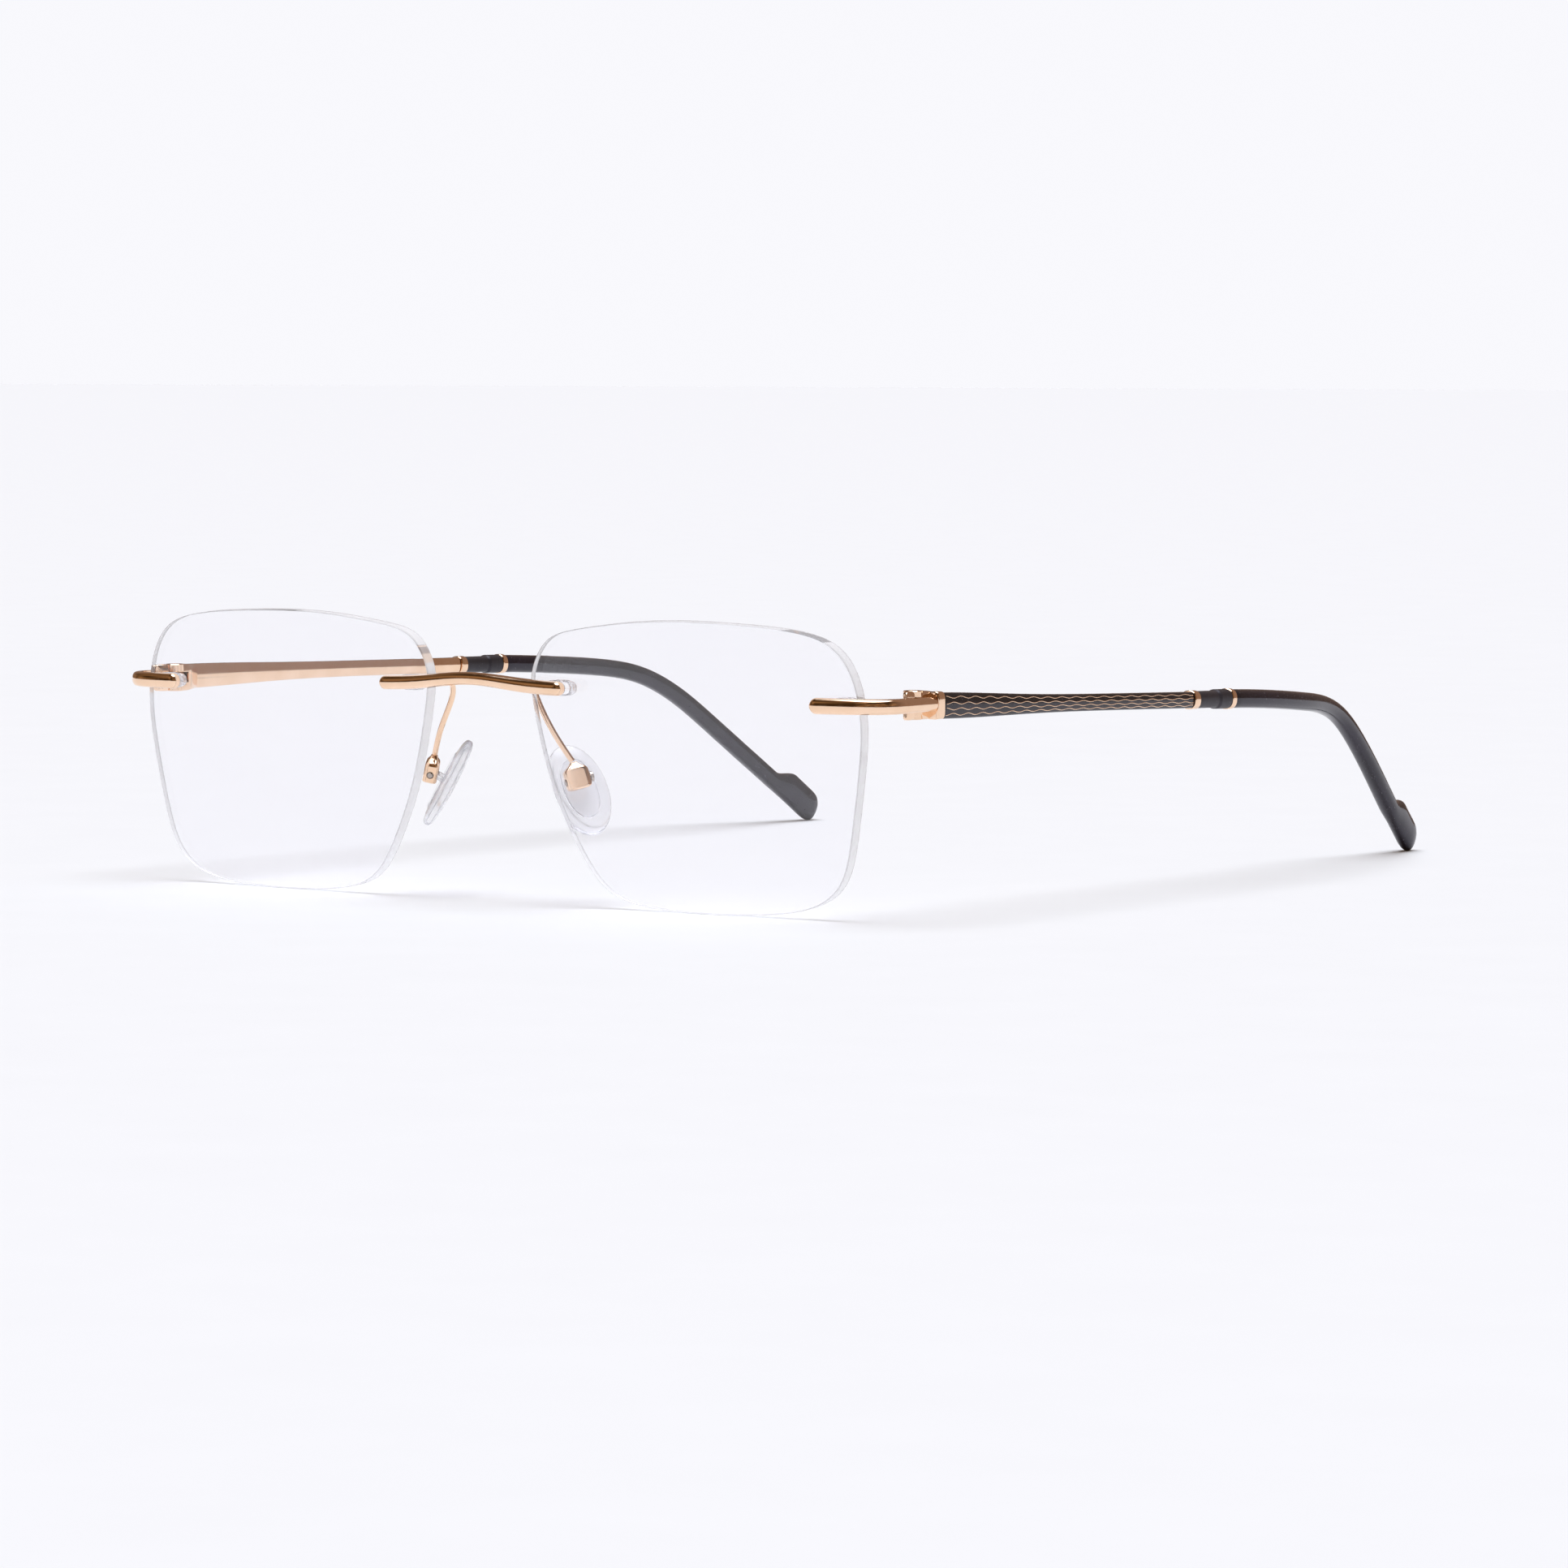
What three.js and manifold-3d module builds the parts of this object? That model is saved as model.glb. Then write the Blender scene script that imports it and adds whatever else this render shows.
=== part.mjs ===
// Rimless eyeglasses, standing open on their lens bottoms and temple tips.
// Millimetres, +Z up, lenses facing -Y, wearer's left on +X.
// Each piece is made for the wearer's left and mirrored for the right.
import * as THREE from 'three';
import { mergeVertices } from 'three/addons/utils/BufferGeometryUtils.js';
import Module from 'manifold-3d';

const wasm = await Module();
wasm.setup();

// ---- driving dimensions ----------------------------------------------------
const LENS_WIDTH = 53;
const LENS_HEIGHT = 39.5;
const LENS_GAP = 17.8;            // between the two lenses, at their nearest
const LENS_THICKNESS = 1.84;
const LENS_RADIUS = 269;          // base curve of both faces
const LENS_WRAP = THREE.MathUtils.degToRad(2.6);
const LENS_TILT = THREE.MathUtils.degToRad(4.2);
const LENS_X = (LENS_GAP + LENS_WIDTH) / 2;

const FIT = 0.1;                  // clearance between pieces that are fitted together
const MOUNT_Z = 29.85;            // height of the bridge pins
const END_Z = 28.75;              // height of the end-piece pins
const PIN_RADIUS = 0.45;
const SLEEVE_RADIUS = 0.72;       // plastic sleeve around a pin, where it crosses the lens
const SLEEVE_FOOT = 1.1;          // from a pin to the edge of the sleeves' common foot
const BRIDGE_PINS = [11.6, 14.2];
const END_PINS = [57.3, 59.8];

const BRIDGE_END = 15.75;
const BRIDGE_HEIGHT = 1.95;
const BRIDGE_WAIST = 0.2;         // how much lower the bar is in the middle
const BRIDGE_DEPTH = 1.4;
const BRIDGE_ARCH = 1.0;          // rise of the bridge in the middle
const BRIDGE_ARCH_REACH = 8.3;
const BRIDGE_BACK_Y = -1.8;       // back of the bridge at its ends

const END_BAR_HEIGHT = 2.2;
const END_BAR_DEPTH = 1.25;

const HINGE = { x: 64.0, y: 11.1, bottom: 26.75, top: 30.6 };
const KNUCKLE_RADIUS = 1.3;
const KNUCKLE_GAP = 0.1;
const SCREW_RADIUS = 0.45;
const SCREW_HEAD_RADIUS = 0.75;
const PLATE_INSIDE_X = 65.42;     // inner face of the end piece's tail plate
const PLATE_END_Y = 13.15;
const LEAF_START_Y = 7.8;
const LEAF_END_Y = 9.65;
const SHOULDER_END_Y = 14.75;
const TEMPLE_FRONT_Z = 28.55;

const TEMPLE_X = 65.75;
const PANEL_END_Y = 77.2;
const FERRULE_END_Y = 78.7;
const COLLAR_START_Y = 84.3;
const COLLAR_END_Y = 87.2;
const RING_END_Y = 88.3;
const TEMPLE_FRONT_HEIGHT = 3.5;
const TEMPLE_REAR_HEIGHT = 2.3;
const TEMPLE_TAPER = 20;          // how far back the bar is still noticeably higher
const TEMPLE_DEPTH = 1.0;         // of the metal bar, and of the panel on it
const CORE_RADIUS = 0.5;
const CORE_END = 0.62;            // how far along the tip the core wire reaches
const TIP_HALF_HEIGHT = 1.34;
const PADDLE_RISE = 2.0;          // the paddle swells upward only
const PADDLE_START = 0.8;         // where along the tip it starts

const PAD_LENGTH = 13.6;
const PAD_WIDTH = 8.0;
const PAD_DEPTH = 2.2;
const PAD_ARM_RADIUS = 0.39;
const ARM_START_Y = -1.92;        // where the wire meets the back of the bridge
const PAD_BOX = { width: 3.4, depth: 2.0, bottom: -1.3, top: 1.2, wall: 0.55 };
const PAD_SCREW_RADIUS = 0.4;

const MATERIALS = {
  rose_gold: { color: 0xd9a077, roughness: 0.16, metalness: 1 },
  lens: { color: 0xf3f1fa, roughness: 0.03, metalness: 0 },
  clear_plastic: { color: 0xf1f1f4, roughness: 0.12, metalness: 0 },
  silicone: { color: 0xefeef2, roughness: 0.3, metalness: 0 },
  black_lacquer: { color: 0x242124, roughness: 0.3, metalness: 0 },
  matte_black: { color: 0x232124, roughness: 0.5, metalness: 0 },
  gloss_black: { color: 0x19181b, roughness: 0.12, metalness: 0 },
  screw_steel: { color: 0xb9b3ae, roughness: 0.25, metalness: 1 },
};

const V = (x, y, z) => new THREE.Vector3(x, y, z);
const UP = V(0, 0, 1);

// ---- geometry helpers ------------------------------------------------------
function signedVolume(geometry) {
  const p = geometry.attributes.position;
  const index = geometry.index.array;
  const [a, b, c] = [V(), V(), V()];
  let sum = 0;
  for (let i = 0; i < index.length; i += 3) {
    a.fromBufferAttribute(p, index[i]);
    b.fromBufferAttribute(p, index[i + 1]);
    c.fromBufferAttribute(p, index[i + 2]);
    sum += a.dot(b.cross(c)) / 6;
  }
  return sum;
}

// Merged, indexed and facing outward.
function closed(geometry) {
  geometry.deleteAttribute('normal');
  geometry.deleteAttribute('uv');
  const merged = mergeVertices(geometry, 1e-4);
  if (signedVolume(merged) < 0) {
    const index = merged.index.array;
    for (let i = 0; i < index.length; i += 3) {
      [index[i], index[i + 1]] = [index[i + 1], index[i]];
    }
  }
  merged.computeVertexNormals();
  return merged;
}

function solid(geometry) {
  const ready = closed(geometry);
  return new wasm.Manifold(new wasm.Mesh({
    numProp: 3,
    vertProperties: new Float32Array(ready.attributes.position.array),
    triVerts: new Uint32Array(ready.index.array),
  }));
}

function geometryOf(manifold) {
  const mesh = manifold.getMesh();
  const geometry = new THREE.BufferGeometry();
  geometry.setAttribute('position', new THREE.BufferAttribute(new Float32Array(mesh.vertProperties), 3));
  geometry.setIndex(new THREE.BufferAttribute(new Uint32Array(mesh.triVerts), 1));
  geometry.computeVertexNormals();
  return geometry;
}

// The first geometries joined, less the second ones.
function joinAndCut(joined, cut = []) {
  const body = wasm.Manifold.union(joined.map(solid));
  return geometryOf(cut.length ? body.subtract(wasm.Manifold.union(cut.map(solid))) : body);
}

function boxBetween(min, max) {
  const size = max.clone().sub(min);
  const centre = min.clone().add(max).multiplyScalar(0.5);
  return new THREE.BoxGeometry(size.x, size.y, size.z).translate(centre.x, centre.y, centre.z);
}

function rod(from, to, radius, sides = 20) {
  const direction = to.clone().sub(from);
  const middle = from.clone().add(to).multiplyScalar(0.5);
  return new THREE.CylinderGeometry(radius, radius, direction.length(), sides)
    .applyQuaternion(new THREE.Quaternion().setFromUnitVectors(V(0, 1, 0), direction.normalize()))
    .translate(middle.x, middle.y, middle.z);
}

// A closed outline |x|^p + |y|^p = 1: an oval for 2, a rounded box for more.
function ovalSection(sides = 20, power = 2.6) {
  const points = [];
  for (let i = 0; i < sides; i += 1) {
    const angle = (2 * Math.PI * i) / sides;
    const [c, s] = [Math.cos(angle), Math.sin(angle)];
    points.push(new THREE.Vector2(
      Math.sign(c) * Math.abs(c) ** (2 / power), Math.sign(s) * Math.abs(s) ** (2 / power)));
  }
  return new THREE.Shape(points);
}

// Flat at y = 0 and bulged to y = 1, with small flat flanks of the given height.
function bulgedSection(flank = 0.25, sides = 10) {
  const points = [new THREE.Vector2(-1, 0), new THREE.Vector2(1, 0)];
  for (let i = 0; i <= sides; i += 1) {
    const angle = (Math.PI * i) / sides;
    points.push(new THREE.Vector2(Math.cos(angle), flank + (1 - flank) * Math.sin(angle) ** 0.7));
  }
  return new THREE.Shape(points);
}

// A section carried through frames {at, tall, wide, height, width}: its x along tall, its y along wide.
function sweep(section, frames) {
  const steps = frames.length - 1;
  const geometry = new THREE.ExtrudeGeometry(section, { depth: steps, steps, bevelEnabled: false });
  const p = geometry.attributes.position;
  for (let i = 0; i < p.count; i += 1) {
    const frame = frames[Math.round(p.getZ(i))];
    const point = frame.at.clone()
      .addScaledVector(frame.tall, p.getX(i) * frame.height)
      .addScaledVector(frame.wide, p.getY(i) * frame.width);
    p.setXYZ(i, point.x, point.y, point.z);
  }
  return closed(geometry);
}

// Frames along a curve, upright, with the section's size given by half heights and half widths.
function framesAlong(curve, stations, heightAt, widthAt) {
  return stations.map((t) => {
    const at = curve.getPoint(t);
    const tangent = curve.getTangent(t);
    const wide = tangent.clone().cross(UP).normalize();
    const tall = wide.clone().cross(tangent);
    return { at, tall, wide, height: heightAt(t, at), width: widthAt(t, at) };
  });
}

const evenly = (count) => Array.from({ length: count + 1 }, (_, i) => i / count);

// Even stations with finer ones in the last stretch at each named end.
function stationsRounded(count, stretch, roundStart, roundEnd) {
  const round = [0, 0.06, 0.2, 0.42, 0.7].map((s) => s * stretch);
  const middle = evenly(count).map((t) => stretch + t * (1 - 2 * stretch));
  const start = roundStart ? round : [0];
  const end = roundEnd ? round.map((s) => 1 - s).reverse() : [1];
  return [...start, ...middle, ...end];
}

// 1 along the bar, falling round to a small flat at an end that is rounded off.
function roundOff(t, stretch, roundStart, roundEnd) {
  const near = Math.min(roundStart ? t : 1, roundEnd ? 1 - t : 1);
  if (near >= stretch) return 1;
  return Math.max(0.3, Math.sqrt(1 - (1 - near / stretch) ** 2));
}

function mesh(name, geometry, look) {
  const piece = new THREE.Mesh(geometry, new THREE.MeshStandardMaterial(MATERIALS[look]));
  piece.name = name;
  return piece;
}

// ---- lenses ----------------------------------------------------------------
// Lens outline seen from the front, from the nasal side round by the top.
function lensOutline() {
  const points = [
    [-26.4, 9.5], [-26.1, 13.0], [-23.6, 16.6], [-18.0, 18.35], [-10.0, 19.35], [-1.5, 19.75], [8.0, 19.5],
    [16.5, 18.75], [22.2, 16.9], [25.3, 13.0], [26.6, 6.6], [26.0, -0.5], [24.6, -8.5], [22.7, -14.5],
    [19.3, -17.6], [13.0, -19.2], [2.5, -19.75], [-7.0, -19.4], [-13.0, -18.2], [-16.6, -15.7],
    [-20.0, -10.6], [-23.6, -2.5],
  ];
  const curve = new THREE.CatmullRomCurve3(points.map(([x, y]) => V(x, y, 0)), true, 'centripetal');
  return curve.getSpacedPoints(64).slice(0, 64);
}

// From the lens's own frame (x outward, y up, z forward) to the glasses.
function lensFrame() {
  const forward = V(Math.sin(LENS_WRAP), -Math.cos(LENS_WRAP), 0);
  const outward = V(Math.cos(LENS_WRAP), Math.sin(LENS_WRAP), 0);
  const up = UP.clone().multiplyScalar(Math.cos(LENS_TILT)).addScaledVector(forward, Math.sin(LENS_TILT));
  return new THREE.Matrix4().makeBasis(outward, up, outward.clone().cross(up));
}

function lensBlank() {
  const outline = lensOutline();
  const rings = [0, 0.25, 0.5, 0.75, 1];
  const profile = [
    ...rings.map((r) => new THREE.Vector2(r, 0)),
    ...rings.toReversed().map((r) => new THREE.Vector2(r, -LENS_THICKNESS)),
  ];
  const geometry = new THREE.LatheGeometry(profile, outline.length);
  const p = geometry.attributes.position;
  for (let i = 0; i < p.count; i += 1) {
    const ray = outline[Math.floor(i / profile.length) % outline.length];
    const ring = profile[i % profile.length].x;
    const [x, y] = [ray.x * ring, ray.y * ring];
    p.setXYZ(i, x, y, p.getY(i) - (x * x + y * y) / (2 * LENS_RADIUS));
  }
  geometry.applyMatrix4(lensFrame());
  const lowest = geometryBottom(geometry);
  return geometry.translate(LENS_X, 0, -lowest);
}

function geometryBottom(geometry) {
  geometry.computeBoundingBox();
  return geometry.boundingBox.min.z;
}

function lens() {
  const holes = [...BRIDGE_PINS.map((x) => [x, MOUNT_Z]), ...END_PINS.map((x) => [x, END_Z])]
    .map(([x, z]) => rod(V(x, -6, z), V(x, 12, z), SLEEVE_RADIUS + FIT, 18));
  return mesh('lens_left', joinAndCut([lensBlank()], holes), 'lens');
}

// Front face of the lens at a place on it, without the wrap's small change of height.
function lensFrontY(x, z) {
  const outward = x - LENS_X;
  const up = z - LENS_HEIGHT / 2;
  const sag = (outward * outward + up * up) / (2 * LENS_RADIUS);
  return outward * Math.sin(LENS_WRAP) - up * Math.sin(LENS_TILT) + sag;
}

// ---- pins and plastic sleeves ----------------------------------------------
const lensBackY = (x, z) => lensFrontY(x, z) + LENS_THICKNESS + 0.02;

function pins(places, z, frontY) {
  return places.map((x) => rod(V(x, frontY, z), V(x, lensBackY(x, z) + 1.15, z), PIN_RADIUS, 16));
}

// Two tubes through the lens on one domed foot behind it, bored for the pins.
function doubleSleeve(name, places, z) {
  const rims = [places[0] - SLEEVE_FOOT, places[1] + SLEEVE_FOOT];
  const foot = Math.max(...rims.map((x) => lensBackY(x, z))) + FIT;
  const tubes = places.map((x) => rod(V(x, lensFrontY(x, z) + 0.1, z), V(x, foot + 0.6, z), SLEEVE_RADIUS, 18));
  const middle = (places[0] + places[1]) / 2;
  const frames = [[0, 1], [0.7, 1], [1.15, 0.86], [1.45, 0.6]].map(([depth, size]) => ({
    at: V(middle, foot + depth, z),
    tall: V(0, 0, 1),
    wide: V(1, 0, 0),
    height: SLEEVE_FOOT * size,
    width: ((places[1] - places[0]) / 2 + SLEEVE_FOOT) * (0.35 + 0.65 * size),
  }));
  const bores = places.map((x) => rod(V(x, -4, z), V(x, foot + 1.1, z), PIN_RADIUS + FIT / 2, 16));
  return mesh(name, joinAndCut([sweep(ovalSection(24, 2.8), frames), ...tubes], bores), 'clear_plastic');
}

// ---- bridge ----------------------------------------------------------------
class BridgeLine extends THREE.Curve {
  getPoint(t, target = V()) {
    const x = (2 * t - 1) * BRIDGE_END;
    const arch = Math.exp(-((x / BRIDGE_ARCH_REACH) ** 2));
    return target.set(x, BRIDGE_BACK_Y - 0.35 * arch, MOUNT_Z + BRIDGE_ARCH * arch);
  }
}

function bridge() {
  const stretch = 0.05;
  const stations = stationsRounded(18, stretch, true, true);
  const bar = framesAlong(new BridgeLine(), stations,
    (t) => ((BRIDGE_HEIGHT - BRIDGE_WAIST * Math.sin(Math.PI * t) ** 4) / 2) * roundOff(t, stretch, true, true),
    (t) => BRIDGE_DEPTH * (0.6 + 0.4 * roundOff(t, stretch, true, true)));
  const allPins = [...BRIDGE_PINS, ...BRIDGE_PINS.map((x) => -x)]
    .map((x) => rod(V(x, BRIDGE_BACK_Y - 0.3, MOUNT_Z), V(x, lensBackY(Math.abs(x), MOUNT_Z) + 1.0, MOUNT_Z), PIN_RADIUS, 16));
  return mesh('bridge', joinAndCut([sweep(bulgedSection(), bar), ...allPins]), 'rose_gold');
}

// ---- end pieces and hinges -------------------------------------------------
// Along the lens, round the corner and back outside the hinge: the line of the bar's inner face.
function endPieceLine() {
  const plate = PLATE_INSIDE_X;
  return new THREE.CatmullRomCurve3([
    V(54.9, 0.72, END_Z), V(58, 0.98, END_Z), V(61.3, 1.5, END_Z), V(63.6, 2.45, END_Z),
    V(64.95, 4.1, END_Z), V(plate, 6.2, END_Z), V(plate, 8.5, END_Z), V(plate, 11, END_Z),
    V(plate, PLATE_END_Y, END_Z),
  ], false, 'centripetal');
}

function endPiece() {
  const stretch = 0.05;
  const stations = stationsRounded(22, stretch, true, false);
  const bar = framesAlong(endPieceLine(), stations,
    (t) => (END_BAR_HEIGHT / 2) * roundOff(t, stretch, true, false) * (1 - 0.12 * t),
    (t) => END_BAR_DEPTH * (0.6 + 0.4 * roundOff(t, stretch, true, false)));
  const body = joinAndCut([sweep(bulgedSection(), bar), ...pins(END_PINS, END_Z, 0.4)]);
  return mesh('end_piece_left', body, 'rose_gold');
}

function knuckle(bottom, top) {
  return rod(V(HINGE.x, HINGE.y, bottom), V(HINGE.x, HINGE.y, top), KNUCKLE_RADIUS, 28);
}

const KNUCKLE_SPLIT = (HINGE.top - HINGE.bottom) / 3;
const hingeHole = () => rod(V(HINGE.x, HINGE.y, HINGE.bottom - 1), V(HINGE.x, HINGE.y, HINGE.top + 1),
  SCREW_RADIUS + FIT, 20);

// The leaf on the front: a block behind the plate, slanted in front, with the middle knuckle.
function hingeLeaf() {
  const [bottom, top] = [HINGE.bottom + KNUCKLE_SPLIT, HINGE.top - KNUCKLE_SPLIT];
  const outside = PLATE_INSIDE_X - FIT;
  const middle = (HINGE.bottom + HINGE.top) / 2;
  const half = (HINGE.top - HINGE.bottom) / 2;
  const block = sweep(ovalSection(24, 5), [
    [LEAF_START_Y, 0.7, 0.86], [LEAF_START_Y + 0.35, 0.9, 0.97], [LEAF_START_Y + 1.2, 1.3, 1], [LEAF_END_Y, 1.5, 1],
  ].map(([y, deep, size]) => ({
    at: V(outside - deep / 2, y, middle), tall: V(0, 0, 1), wide: V(1, 0, 0), height: half * size, width: deep / 2,
  })));
  const web = boxBetween(V(outside - 1.4, LEAF_END_Y - 0.5, bottom), V(outside - 0.1, HINGE.y, top));
  return mesh('hinge_leaf_left', joinAndCut([block, web, knuckle(bottom, top)], [hingeHole()]), 'rose_gold');
}

// A slotted cylinder head let into the top knuckle, and the shank below it.
function hingeScrew() {
  const headBottom = HINGE.top - 0.55;
  const axis = (z) => V(HINGE.x, HINGE.y, z);
  const shank = rod(axis(HINGE.bottom + 0.1), axis(headBottom + 0.1), SCREW_RADIUS, 18);
  const head = rod(axis(headBottom), axis(HINGE.top - 0.05), SCREW_HEAD_RADIUS, 22);
  const slot = boxBetween(V(HINGE.x - 2, HINGE.y - 0.14, HINGE.top - 0.3), V(HINGE.x + 2, HINGE.y + 0.14, HINGE.top + 1));
  return mesh('hinge_screw_left', joinAndCut([shank, head], [slot]), 'screw_steel');
}

// ---- temples ---------------------------------------------------------------
// Places along the middle of a temple: x, y, height on the left, height on the right.
// The two are set a little differently: the right one rises, the left one bends later over the ear.
const TEMPLE_PLACES = [
  [TEMPLE_X, 13.0, 28.55, 28.6], [TEMPLE_X, 30, 28.0, 28.55], [TEMPLE_X, 50, 27.4, 28.3],
  [TEMPLE_X - 0.05, 68, 26.85, 27.95], [TEMPLE_X - 0.1, 80, 26.5, 27.75], [TEMPLE_X - 0.2, 89, 26.25, 27.55],
  [65.2, 100, 25.7, 27.0], [63.8, 112, 24.8, 26.1], [62.2, 119.5, 24.0, 24.7], [61.0, 125.6, 22.5, 22.1],
  [60.2, 131, 19.7, 18.9], [58.9, 138.8, 14.2, 13.5], [57.4, 146.5, 8.4, 8.0], [56.3, 152.4, 3.95, 3.75],
  [55.6, 156.9, 0.42, 0.47],
];

// A temple's middle line, with what is needed to find places on it.
class TempleLine extends THREE.CatmullRomCurve3 {
  constructor(side) {
    const column = side === 'left' ? 2 : 3;
    super(TEMPLE_PLACES.map((place) => V(place[0], place[1], place[column])), false, 'centripetal');
  }

  // Where along the line a distance toward the back is reached.
  stationAt(y) {
    let [low, high] = [0, 1];
    for (let i = 0; i < 40; i += 1) {
      const middle = (low + high) / 2;
      if (this.getPoint(middle).y < y) low = middle;
      else high = middle;
    }
    return (low + high) / 2;
  }

  stationsBetween(fromY, toY, count) {
    const [a, b] = [this.stationAt(fromY), this.stationAt(toY)];
    return evenly(count).map((s) => a + s * (b - a));
  }
}

function templeHalfHeight(y) {
  const back = Math.max(y - SHOULDER_END_Y, 0) / TEMPLE_TAPER;
  return (TEMPLE_REAR_HEIGHT + (TEMPLE_FRONT_HEIGHT - TEMPLE_REAR_HEIGHT) * Math.exp(-(back ** 2))) / 2;
}

// Frames for a layer that bulges toward `side` (1 outward, -1 inward) from the temple's middle.
function layerFrames(line, fromY, count, side, gap, depth) {
  return framesAlong(line, line.stationsBetween(fromY, PANEL_END_Y, count),
    (t, at) => templeHalfHeight(at.y), () => depth)
    .map((frame) => ({
      ...frame,
      at: frame.at.clone().addScaledVector(frame.wide, side * gap),
      wide: frame.wide.clone().multiplyScalar(side),
    }));
}

// The bar on the inside of the temple, with its shoulder and the fork of the hinge.
function temple(line) {
  const bar = sweep(bulgedSection(), layerFrames(line, SHOULDER_END_Y - 1, 12, -1, 0, TEMPLE_DEPTH));
  const outside = PLATE_INSIDE_X - FIT;
  const middle = (HINGE.bottom + HINGE.top) / 2;
  const half = (HINGE.top - HINGE.bottom) / 2;
  const arm = sweep(ovalSection(24, 5), [
    [HINGE.y, 62.9, outside, 1], [12.9, 62.9, outside, 1], [14.5, 63.5, outside, 0.93], [16.8, 64.75, outside, 0.8],
  ].map(([y, inner, outer, size]) => ({
    at: V((inner + outer) / 2, y, middle - (y - HINGE.y) * 0.03),
    tall: V(0, 0, 1),
    wide: V(1, 0, 0),
    height: half * size,
    width: (outer - inner) / 2,
  })));
  const shoulder = sweep(ovalSection(24, 4.5), [PLATE_END_Y + 0.12, SHOULDER_END_Y].map((y) => ({
    at: V((64.4 + TEMPLE_X + TEMPLE_DEPTH) / 2, y, TEMPLE_FRONT_Z),
    tall: V(0, 0, 1),
    wide: V(1, 0, 0),
    height: TEMPLE_FRONT_HEIGHT / 2 + 0.1,
    width: (TEMPLE_X + TEMPLE_DEPTH - 64.4) / 2,
  })));
  const slot = boxBetween(
    V(60, 5, HINGE.bottom + KNUCKLE_SPLIT - KNUCKLE_GAP),
    V(outside + 0.02, HINGE.y + KNUCKLE_RADIUS + 0.4, HINGE.top - KNUCKLE_SPLIT + KNUCKLE_GAP));
  const counterbore = rod(V(HINGE.x, HINGE.y, HINGE.top - 0.65), V(HINGE.x, HINGE.y, HINGE.top + 1),
    SCREW_HEAD_RADIUS + FIT, 22);
  const knuckles = [knuckle(HINGE.bottom, HINGE.bottom + KNUCKLE_SPLIT), knuckle(HINGE.top - KNUCKLE_SPLIT, HINGE.top)];
  const body = joinAndCut([bar, arm, shoulder, ...knuckles], [slot, hingeHole(), counterbore]);
  return mesh('temple_left', body, 'rose_gold');
}

// The lacquered strip on the outside of the bar.
function panel(line) {
  const strip = layerFrames(line, SHOULDER_END_Y + FIT, 14, 1, 0.05, TEMPLE_DEPTH - 0.05);
  return mesh('panel_left', sweep(bulgedSection(0.35), strip), 'black_lacquer');
}

// A closed tube around the core wire between two places on the temple's line.
function tubePiece(name, line, [fromY, toY], count, heightAt, widthAt, look) {
  const outer = sweep(ovalSection(24, 2.4),
    framesAlong(line, line.stationsBetween(fromY, toY, count), (t, at) => heightAt(at.y), (t, at) => widthAt(at.y)));
  const bore = sweep(ovalSection(16, 2), framesAlong(line, line.stationsBetween(fromY - 1, toY + 1, 6),
    () => CORE_RADIUS + FIT, () => CORE_RADIUS + FIT));
  return mesh(name, joinAndCut([outer], [bore]), look);
}

function ferrule(line) {
  return tubePiece('ferrule_left', line, [PANEL_END_Y + 0.1, FERRULE_END_Y], 2, () => 1.34, () => 1.3, 'rose_gold');
}

function ring(line) {
  return tubePiece('ring_left', line, [COLLAR_END_Y + 0.05, RING_END_Y], 2, () => 1.48, () => 1.45, 'rose_gold');
}

// Plain at the front, swelling into a collar at the back.
function sleeve(line) {
  const swell = (y) => THREE.MathUtils.smoothstep(y, COLLAR_START_Y - 0.5, COLLAR_START_Y + 0.1);
  return tubePiece('sleeve_left', line, [FERRULE_END_Y + 0.05, COLLAR_END_Y], 7,
    (y) => 1.22 + 0.18 * swell(y), (y) => 1.18 + 0.18 * swell(y), 'matte_black');
}

// Wire inside the tubes, from the bar's end far into the tip.
function coreWire(line) {
  const ringEnd = line.stationAt(RING_END_Y);
  const start = line.stationAt(PANEL_END_Y + 0.1);
  const end = ringEnd + CORE_END * (1 - ringEnd);
  const stations = evenly(18).map((s) => start + s * (end - start));
  const frames = framesAlong(line, stations, () => CORE_RADIUS, () => CORE_RADIUS);
  return mesh('core_wire_left', sweep(ovalSection(12, 2), frames), 'screw_steel');
}

// 1 until the share given, then falling round to a small flat at the end.
function roundedFrom(share, s, flat) {
  const past = Math.max(s - share, 0) / (1 - share);
  return Math.max(flat, (1 - past ** 2.6) ** (1 / 2.6));
}

// Reach of the tip below and above its line: straight below, swelling to a paddle above.
function tipReach(s) {
  const swell = THREE.MathUtils.smoothstep(s, PADDLE_START, PADDLE_START + 0.065);
  return {
    below: TIP_HALF_HEIGHT * roundedFrom(0.945, s, 0.25),
    above: (TIP_HALF_HEIGHT + PADDLE_RISE * swell) * roundedFrom(0.915, s, 0.35),
  };
}

function tipHalfWidth(s) {
  return (1.3 + 0.1 * THREE.MathUtils.smoothstep(s, 0.4, 0.8)) * roundedFrom(0.92, s, 0.4);
}

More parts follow.
